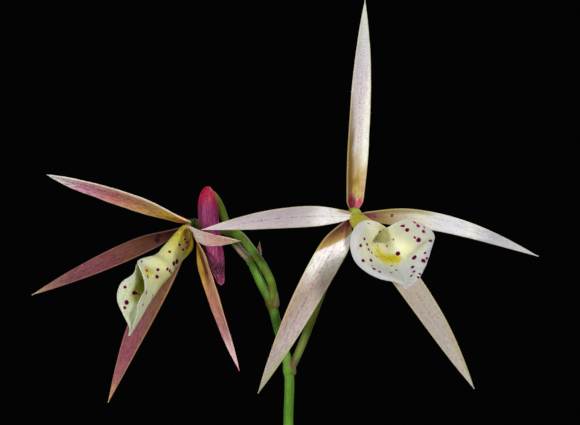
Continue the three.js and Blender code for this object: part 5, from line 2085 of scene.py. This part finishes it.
def side_flower() -> Flower:
    """The younger, rosy flower on the left, seen from its side, with its lip still folded."""
    stations = (
        (0, 6.2, 88, 163, 0, 6.2, 88, 163, 0),
        (0.12, 10.21, 82, 199, 0, 9.51, 87, 152, 1.3),
        (0.25, 9.86, 88, 182, 0, 10.38, 91, 159, 0),
        (0.34, 11, 90, 168, -0.1, 10.49, 89, 169, 0.3),
        (0.42, 13.2, 93, 152, 0, 12.39, 86, 163, 1.4),
        (0.52, 12.87, 98, 132, 0.9, 12.91, 102, 115, 1.6),
        (0.6, 10.62, 107, 84, 0.8, 12.15, 83, 61, 0.8),
        (0.7, 10.03, 85, 55, 0.6, 10.69, 63, 34, 1),
        (0.8, 8.27, 74, 58, 0.3, 8.16, 62, 44, 0.4),
        (0.87, 4.7, 63, 53, 0.2, 5.44, 55, 46, 0),
        (0.94, 1.24, 57, 47, 0.1, 2.48, 51, 43, -0.4),
        (1, 0.4, 40, 40, 0, 0.4, 40, 40, 0),
    )
    keel = (
        (0, 2.2, 0), (0.12, 2.56, -1.76), (0.25, 2.29, -0.27), (0.4, 1.09, -0.5),
        (0.55, 0.73, 0.45), (0.7, -0.23, 0.12), (0.85, -0.29, -0.04), (1, 0, 0),
    )
    stains_and_painted_light = (
        Stain(0.53, -0.7, 0.05, 0.14, tint(206, 190, 40), 0.9),
        Stain(0.62, 0.4, 0.16, 0.35, tint(150, 146, 40), 0.9),
        Stain(0.1, -0.35, 0.16, 0.45, tint(140, 120, 8), 0.8),
    )
    velvet = LipFinish(
        "flower_1_lip_skin", limb=tint(204, 212, 178), cream=tint(212, 216, 150), throat=tint(176, 160, 20),
        tube=tint(180, 170, 40), tube_until=0.34, stains_and_painted_light=stains_and_painted_light,
    )
    tip, up = (-45.1, -10.5, 337.3), (-0.354, -0.339, 0.872)
    lip = Lip("flower_1", CENTRE_1, tip, up, stations, keel, SPOTS_1, velvet, seed=21)
    dusky = TepalFinish(
        shades(
            (0, 250, 135, 15), (0.07, 250, 200, 25), (0.2, 215, 170, 95), (0.34, 210, 150, 110),
            (0.5, 220, 140, 135), (0.72, 250, 175, 205), (0.9, 250, 250, 250), (1, 250, 250, 250),
        ),
        (
            # Painted highlight: near white along the upper edge, where the light catches it.
            Stain(0.42, 1.1, 0.7, 0.6, tint(250, 236, 212), 0.95),
            Stain(0.02, -0.8, 0.12, 0.8, tint(110, 60, 24), 0.5),
        ),
        pigment=tint(112, 14, 52), mottle=0.35, streaks=0.75,
        midline=0.9, midline_from=0.2, midline_until=1.0,
        blotch_until=0.1, rim=tint(250, 226, 206), rim_share=0.45,
    )
    wine = replace(
        dusky,
        # These dark colours are partly the petal's own wine red and partly painted shade, as it lies in shade
        # behind the flower.
        stops=shades(
            (0, 40, 10, 5), (0.08, 50, 15, 5), (0.2, 85, 45, 25), (0.34, 110, 65, 45),
            (0.5, 120, 60, 65), (0.75, 120, 65, 70), (0.9, 150, 110, 95), (1, 190, 165, 125),
        ),
        stains_and_painted_light=(), pigment=tint(60, 6, 30), mottle=0.4, streaks=0.5, midline=1.0, midline_from=0.1,
        marks=((7.8, 0.8, 0.7), (9.2, -0.3, 1)), mark=tint(30, 0, 12), mark_share=1.0,
        rim=tint(176, 130, 126), rim_share=0.3,
    )
    rose = replace(
        dusky,
        stops=shades(
            (0, 220, 130, 90), (0.12, 250, 200, 195), (0.35, 250, 250, 245),
            (0.65, 245, 185, 170), (0.85, 215, 175, 150), (1, 220, 200, 150),
        ),
        stains_and_painted_light=(Stain(0.3, 1, 0.5, 0.7, tint(228, 180, 176), 0.6),),
        pigment=tint(150, 50, 90), streaks=0.45, midline=0.7, midline_from=0.02, midline_until=0.6,
    )
    brown_rose = replace(
        dusky,
        # These dusky colours are partly the sepal's own brown and purple and partly painted shade, as it lies
        # in shade behind the lip.
        stops=shades(
            (0, 75, 50, 20), (0.2, 100, 70, 38), (0.42, 138, 95, 75), (0.56, 145, 85, 88),
            (0.7, 140, 72, 84), (0.86, 155, 90, 92), (0.95, 190, 150, 100), (1, 235, 190, 120),
        ),
        stains_and_painted_light=(Stain(0.4, -1.1, 0.6, 0.6, tint(134, 96, 50), 0.6),),
        pigment=tint(92, 26, 56), mottle=0.5, streaks=0.5, midline=0.3,
        rim=tint(190, 140, 104), rim_share=0.5,
    )
    golden = replace(
        dusky,
        stops=shades(
            (0, 160, 105, 5), (0.14, 135, 95, 5), (0.24, 90, 50, 5), (0.34, 105, 55, 20),
            (0.44, 180, 125, 90), (0.6, 185, 125, 110), (0.74, 185, 130, 130),
            (0.88, 235, 200, 200), (0.95, 250, 200, 210), (1, 250, 125, 195),
        ),
        stains_and_painted_light=(
            # Partly the sepal's own olive-yellow, partly painted light on the half of the creased sepal that
            # faces the light.
            Stain(0.26, 1, 0.24, 1, tint(206, 160, 66), 0.9),
            Stain(0.4, -1, 0.34, 0.8, tint(206, 166, 116)),
        ),
        streaks=0.35, midline=0.2, rim=tint(206, 150, 120),
    )
    tepals = (
        TepalPlan(
            Tepal.DORSAL_SEPAL, (-66.3, -27.5, 382.3), (-1, 0, 1.3), (0, -0.6, -0.8), 3.2,
            (0.75, 0.37, 2.8, 0.25), dusky),
        TepalPlan(
            Tepal.RIGHT_PETAL, (-77, 25.5, 347.4), (-0.2, 4, 0.2), (-0.2, -1, 0.1), 2.65,
            (0.21, 0.36, 1.9, 0.15), wine),
        TepalPlan(
            Tepal.LEFT_PETAL, (-13.3, -40.5, 364.4), (-2.6, -2, -0.9), (-0.9, -0.3, -0.5), 2.4,
            (0.3, 0.4, 2, 0.2), rose),
        TepalPlan(
            Tepal.RIGHT_SEPAL, (-54.6, 29.5, 315), (-1.8, 5, -0.4), (-0.3, -1, 0), 3.9,
            (0.24, 0.33, 1.6, 0.15), brown_rose),
        TepalPlan(
            Tepal.LEFT_SEPAL, (-13.9, -24.5, 328.6), (-0.4, -2, 0.5), (-0.7, -0.7, 0), 2.25,
            (0.42, 0.25, 2.9, 0.2), golden),
    )
    return Flower("flower_1", FORWARD_1, "tepals_pink", lip, tepals)


def front_flower() -> Flower:
    """The open, paler flower on the right, seen from its front, with its heart-shaped limb."""
    stations = (
        (0, 6.2, 88, 163, 0, 6.2, 88, 163, 0),
        (0.12, 8, 90, 167, 0, 8, 90, 167, 0),
        (0.25, 9.22, 89, 163, 0, 9.21, 89, 164, 0.1),
        (0.34, 11.52, 93, 151, -0.2, 11.46, 92, 152, 0.5),
        (0.42, 12.88, 91, 137, -0.3, 12.6, 91, 143, 0.4),
        (0.48, 14.31, 68, 55, 2.6, 14.2, 75, 52, 2.3),
        (0.54, 14.77, 45, 11, 2, 14.96, 48, 13, 1.5),
        (0.62, 12.31, 21, -19, 0.3, 13.12, 49, -6, 0.8),
        (0.75, 7.56, 9, -32, -0.8, 8.6, 38, -21, 0.5),
        (0.86, 1.79, 7, -22, -0.7, 4.87, 37, -17, -0.1),
        (1, 0.4, 10, 0, 0, 0.4, 10, 0, 0),
    )
    keel = (
        (0, 2.2, 0), (0.12, 2.2, -0.03), (0.25, 2.2, -0.49), (0.4, 3.04, -1),
        (0.55, 1.9, -2.12), (0.7, 1.54, -1.89), (0.85, 0.99, -1.83), (1, 0, 0),
    )
    stains_and_painted_light = (
        Stain(0.43, -0.14, 0.2, 0.13, tint(206, 190, 8), 0.95),
        Stain(0.51, -0.16, 0.1, 0.16, tint(196, 180, 20), 0.8),
        # Painted light: pale cream that brightens the upper throat where it lies in shade.
        Stain(0.34, -0.5, 0.2, 0.5, tint(252, 252, 214), 0.9),
        # Painted shade: grey on the right lobe's inner face, turned away from the light.
        Stain(0.52, -0.8, 0.14, 0.4, tint(180, 182, 164), 0.8),
        # Painted shade: tan inside the left fold.
        Stain(0.36, 0.93, 0.12, 0.2, tint(172, 156, 90), 0.8),
    )
    velvet = LipFinish("flower_2_lip_skin", stains_and_painted_light=stains_and_painted_light)
    tip, up = (30.9, -42, 351.7), (0.1, -0.26, 0.96)
    lip = Lip("flower_2", CENTRE_2, tip, up, stations, keel, SPOTS_2, velvet, seed=22)
    cream = TepalFinish(
        shades(
            (0, 210, 150, 120), (0.05, 210, 200, 105), (0.12, 155, 125, 35), (0.2, 195, 180, 135),
            (0.3, 215, 210, 200), (0.45, 215, 205, 205), (0.7, 205, 200, 205), (1, 215, 220, 205),
        ),
        (
            # Partly the sepal's own olive base, partly painted shade on the half turned away from the light.
            Stain(0.1, -1.05, 0.55, 1, tint(118, 90, 8), 0.95),
            # Painted light: near white on the lit half.
            Stain(0.32, 1, 0.5, 0.8, tint(238, 238, 226), 0.8),
            Stain(0.1, 0.9, 0.14, 0.9, tint(190, 156, 84), 0.75),
            Stain(0, -0.4, 0.07, 0.8, tint(116, 4, 40), 0.95),
            Stain(0, 0.7, 0.05, 0.5, tint(206, 20, 110), 0.8),
        ),
        pigment=tint(150, 50, 110), mottle=0.12, streaks=0.24,
        blotches=0.4, blotch_until=0.14, rim=tint(206, 198, 130), rim_share=0.4,
    )
    lilac = replace(
        cream,
        stops=shades(
            (0, 250, 245, 250), (0.08, 250, 250, 250), (0.2, 250, 245, 250), (0.3, 205, 200, 200),
            (0.45, 190, 180, 185), (0.75, 205, 195, 200), (1, 225, 215, 220),
        ),
        stains_and_painted_light=(Stain(0.02, 0.9, 0.1, 0.5, tint(170, 130, 40), 0.7),),
        midline=0.55, midline_from=0.06, midline_until=0.85, blotches=0.0,
        marks=((31, 0.2, 0.3), (25.5, 0.1, 0.26)), mark=tint(160, 50, 120), mark_share=0.6,
    )
    bronze = replace(
        cream,
        stops=shades(
            (0, 110, 35, 50), (0.05, 150, 105, 75), (0.14, 170, 145, 90), (0.24, 190, 185, 155),
            (0.36, 225, 225, 205), (0.5, 235, 235, 245), (0.64, 250, 250, 250),
            (0.76, 190, 190, 200), (1, 205, 200, 200),
        ),
        stains_and_painted_light=(Stain(0.2, -1, 0.3, 0.7, tint(138, 122, 52), 0.7),),
        midline_from=0.02, midline_until=0.3, blotches=0.6, blotch_until=0.1,
        marks=((9.5, -0.4, 0.6), (3.8, -0.1, 0.3)),
    )
    tan = replace(
        cream,
        # The dark olive base is partly the sepal's own olive and partly the painted shadow that the petal
        # above casts on it; slant tilts its edge. The near-white band after it is painted light.
        stops=shades(
            (0, 80, 55, 20), (0.06, 125, 90, 35), (0.12, 165, 135, 65), (0.15, 185, 160, 90),
            (0.168, 245, 243, 238), (0.3, 245, 243, 238), (0.37, 205, 200, 188),
            (0.48, 165, 155, 135), (0.75, 180, 170, 165), (1, 160, 160, 120),
        ),
        stains_and_painted_light=(Stain(0.6, 1, 0.3, 0.7, tint(184, 160, 134), 0.6),),
        slant=0.12, wander=0.02, mottle=0.3, streaks=0.45, midline=0.6, blotches=0.1, freckles=0.3,
        marks=((0.6, 0.2, 1), (4.2, 0.5, 0.5)),
    )
    pale_tan = replace(
        cream,
        stops=shades(
            (0, 140, 120, 60), (0.25, 175, 175, 150), (0.45, 175, 165, 150),
            (0.7, 175, 170, 160), (0.9, 185, 180, 165), (1, 190, 195, 175),
        ),
        stains_and_painted_light=(Stain(0.85, -1, 0.3, 0.8, tint(172, 158, 120), 0.6),),
        mottle=0.18, streaks=0.3, midline=0.35, blotches=0.0, freckles=0.25,
    )
    tepals = (
        TepalPlan(
            Tepal.DORSAL_SEPAL, (20.4, -30, 429.7), (0.1, 2, -0.3), (0.34, -1, 0), 3.06,
            (0.8, 0.29, 2.7, 0.2), cream),
        TepalPlan(
            Tepal.RIGHT_PETAL, (-23.6, -40, 367.4), (0.8, 1, 1.2), (0.3, -1, -0.2), 2.9,
            (0.5, 0.33, 2.1, 0.15), lilac),
        TepalPlan(
            Tepal.LEFT_PETAL, (70.8, -2, 359.5), (-1.8, -1, 3.5), (0, -1, -0.1), 2.55,
            (0.5, 0.32, 2.3, 0.15), bronze),
        TepalPlan(
            Tepal.RIGHT_SEPAL, (-9, -10, 321.1), (1.4, -2, 4.2), (0.2, -1, 0), 4.05,
            (0.33, 0.2, 2.8, 0.15), tan),
        TepalPlan(
            Tepal.LEFT_SEPAL, (53.4, 8, 320.9), (0.7, -1, 1.8), (0.1, -1, 0), 3.55,
            (0.3, 0.35, 2.3, 0.15), pale_tan),
    )
    return Flower("flower_2", FORWARD_2, "tepals_pale", lip, tepals)


@dataclass(frozen=True)
class Lamp:
    """One soft light: where it stands, how wide and strong it is and its colour."""

    name: str
    place: Point
    width: float
    power: float
    colour: Colour = (1, 1, 1)


@dataclass
class Studio:
    """The camera, the soft lights, the pale floor and the dark surroundings. In metres."""

    camera_place: Point = (0, -0.6, 0.372)
    lens: float = 130.2
    floor_radius: float = 2.9
    aim: Point = (0, 0, 0.34)
    dark: float = 0.0012
    ambient: float = 0.05
    lamps: tuple[Lamp, ...] = (
        Lamp("key_light", (0.6, -1.48, 1.1), 0.18, 21, (1, 0.99, 0.965)),
        Lamp("fill_light", (-1.1, -1.3, 0.3), 0.45, 14, (0.95, 0.98, 1)),
        Lamp("back_light", (0.8, 0.9, 1.4), 0.5, 9),
    )

    def camera(self) -> None:
        """The camera, level and as far from the flowers as the photograph's was."""
        data = bpy.data.cameras.new("camera")
        data.lens = self.lens
        data.sensor_width = 36.0
        data.clip_start = 0.02
        data.clip_end = 50.0
        camera = bpy.data.objects.new("camera", data)
        camera.location = self.camera_place
        camera.rotation_euler = (math.radians(90), 0, 0)
        bpy.context.scene.collection.objects.link(camera)
        bpy.context.scene.camera = camera

    def light(self, lamp: Lamp) -> None:
        """One soft square light aimed at the flowers."""
        data = bpy.data.lights.new(lamp.name, "AREA")
        data.size = lamp.width
        data.energy = lamp.power
        data.color = lamp.colour
        light = bpy.data.objects.new(lamp.name, data)
        light.location = lamp.place
        way = Vector(self.aim) - Vector(lamp.place)
        light.rotation_euler = way.to_track_quat("-Z", "Y").to_euler()
        light.visible_camera = False
        bpy.context.scene.collection.objects.link(light)

    def floor(self) -> None:
        """A pale round floor under the pot."""
        mesh = disc("floor", self.floor_radius, -0.0004, 128)
        mesh.materials.append(FloorFinish().paint())
        link_object("studio_floor", mesh)

    def surroundings(self) -> None:
        """Near black where the camera looks past the floor, and a soft light from all sides."""
        world = bpy.data.worlds.new("studio")
        world.use_nodes = True
        bpy.context.scene.world = world
        world.node_tree.nodes.clear()
        nodes = NodeBuilder(world.node_tree)
        seen = nodes.node("ShaderNodeLightPath").outputs["Is Camera Ray"]
        strength = nodes.rise(seen, 0, 1, self.ambient, self.dark)
        inputs = {"Color": (1.0, 1.0, 1.0), "Strength": strength}
        nodes.node("ShaderNodeOutputWorld", {"Surface": nodes.out("ShaderNodeBackground", inputs)})

    def build(self) -> None:
        """Sets up the studio."""
        self.camera()
        for lamp in self.lamps:
            self.light(lamp)
        self.floor()
        self.surroundings()
        bpy.context.scene.view_settings.view_transform = "Standard"


def main() -> None:
    """Builds the studio and then the orchid, from the pot up to the flowers."""
    logging.basicConfig(level=logging.INFO, format="%(message)s")
    Studio().build()
    sweeper = Sweeper()
    pot = Pot()
    pot.build()
    BarkMix(pot, Scatter()).build()
    Rhizome(sweeper).build()
    skin = CaneFinish(rings=Cane.JOINTS).paint()
    paper = ScaleFinish("sheath_paper").paint()
    for cane in CANES:
        cane.build(skin, paper)
    for leaf in LEAVES:
        leaf.build()
    FlowerStem(sweeper).build()
    Bud().build()
    side_flower().build()
    front_flower().build()


if __name__ == "__main__":
    main()
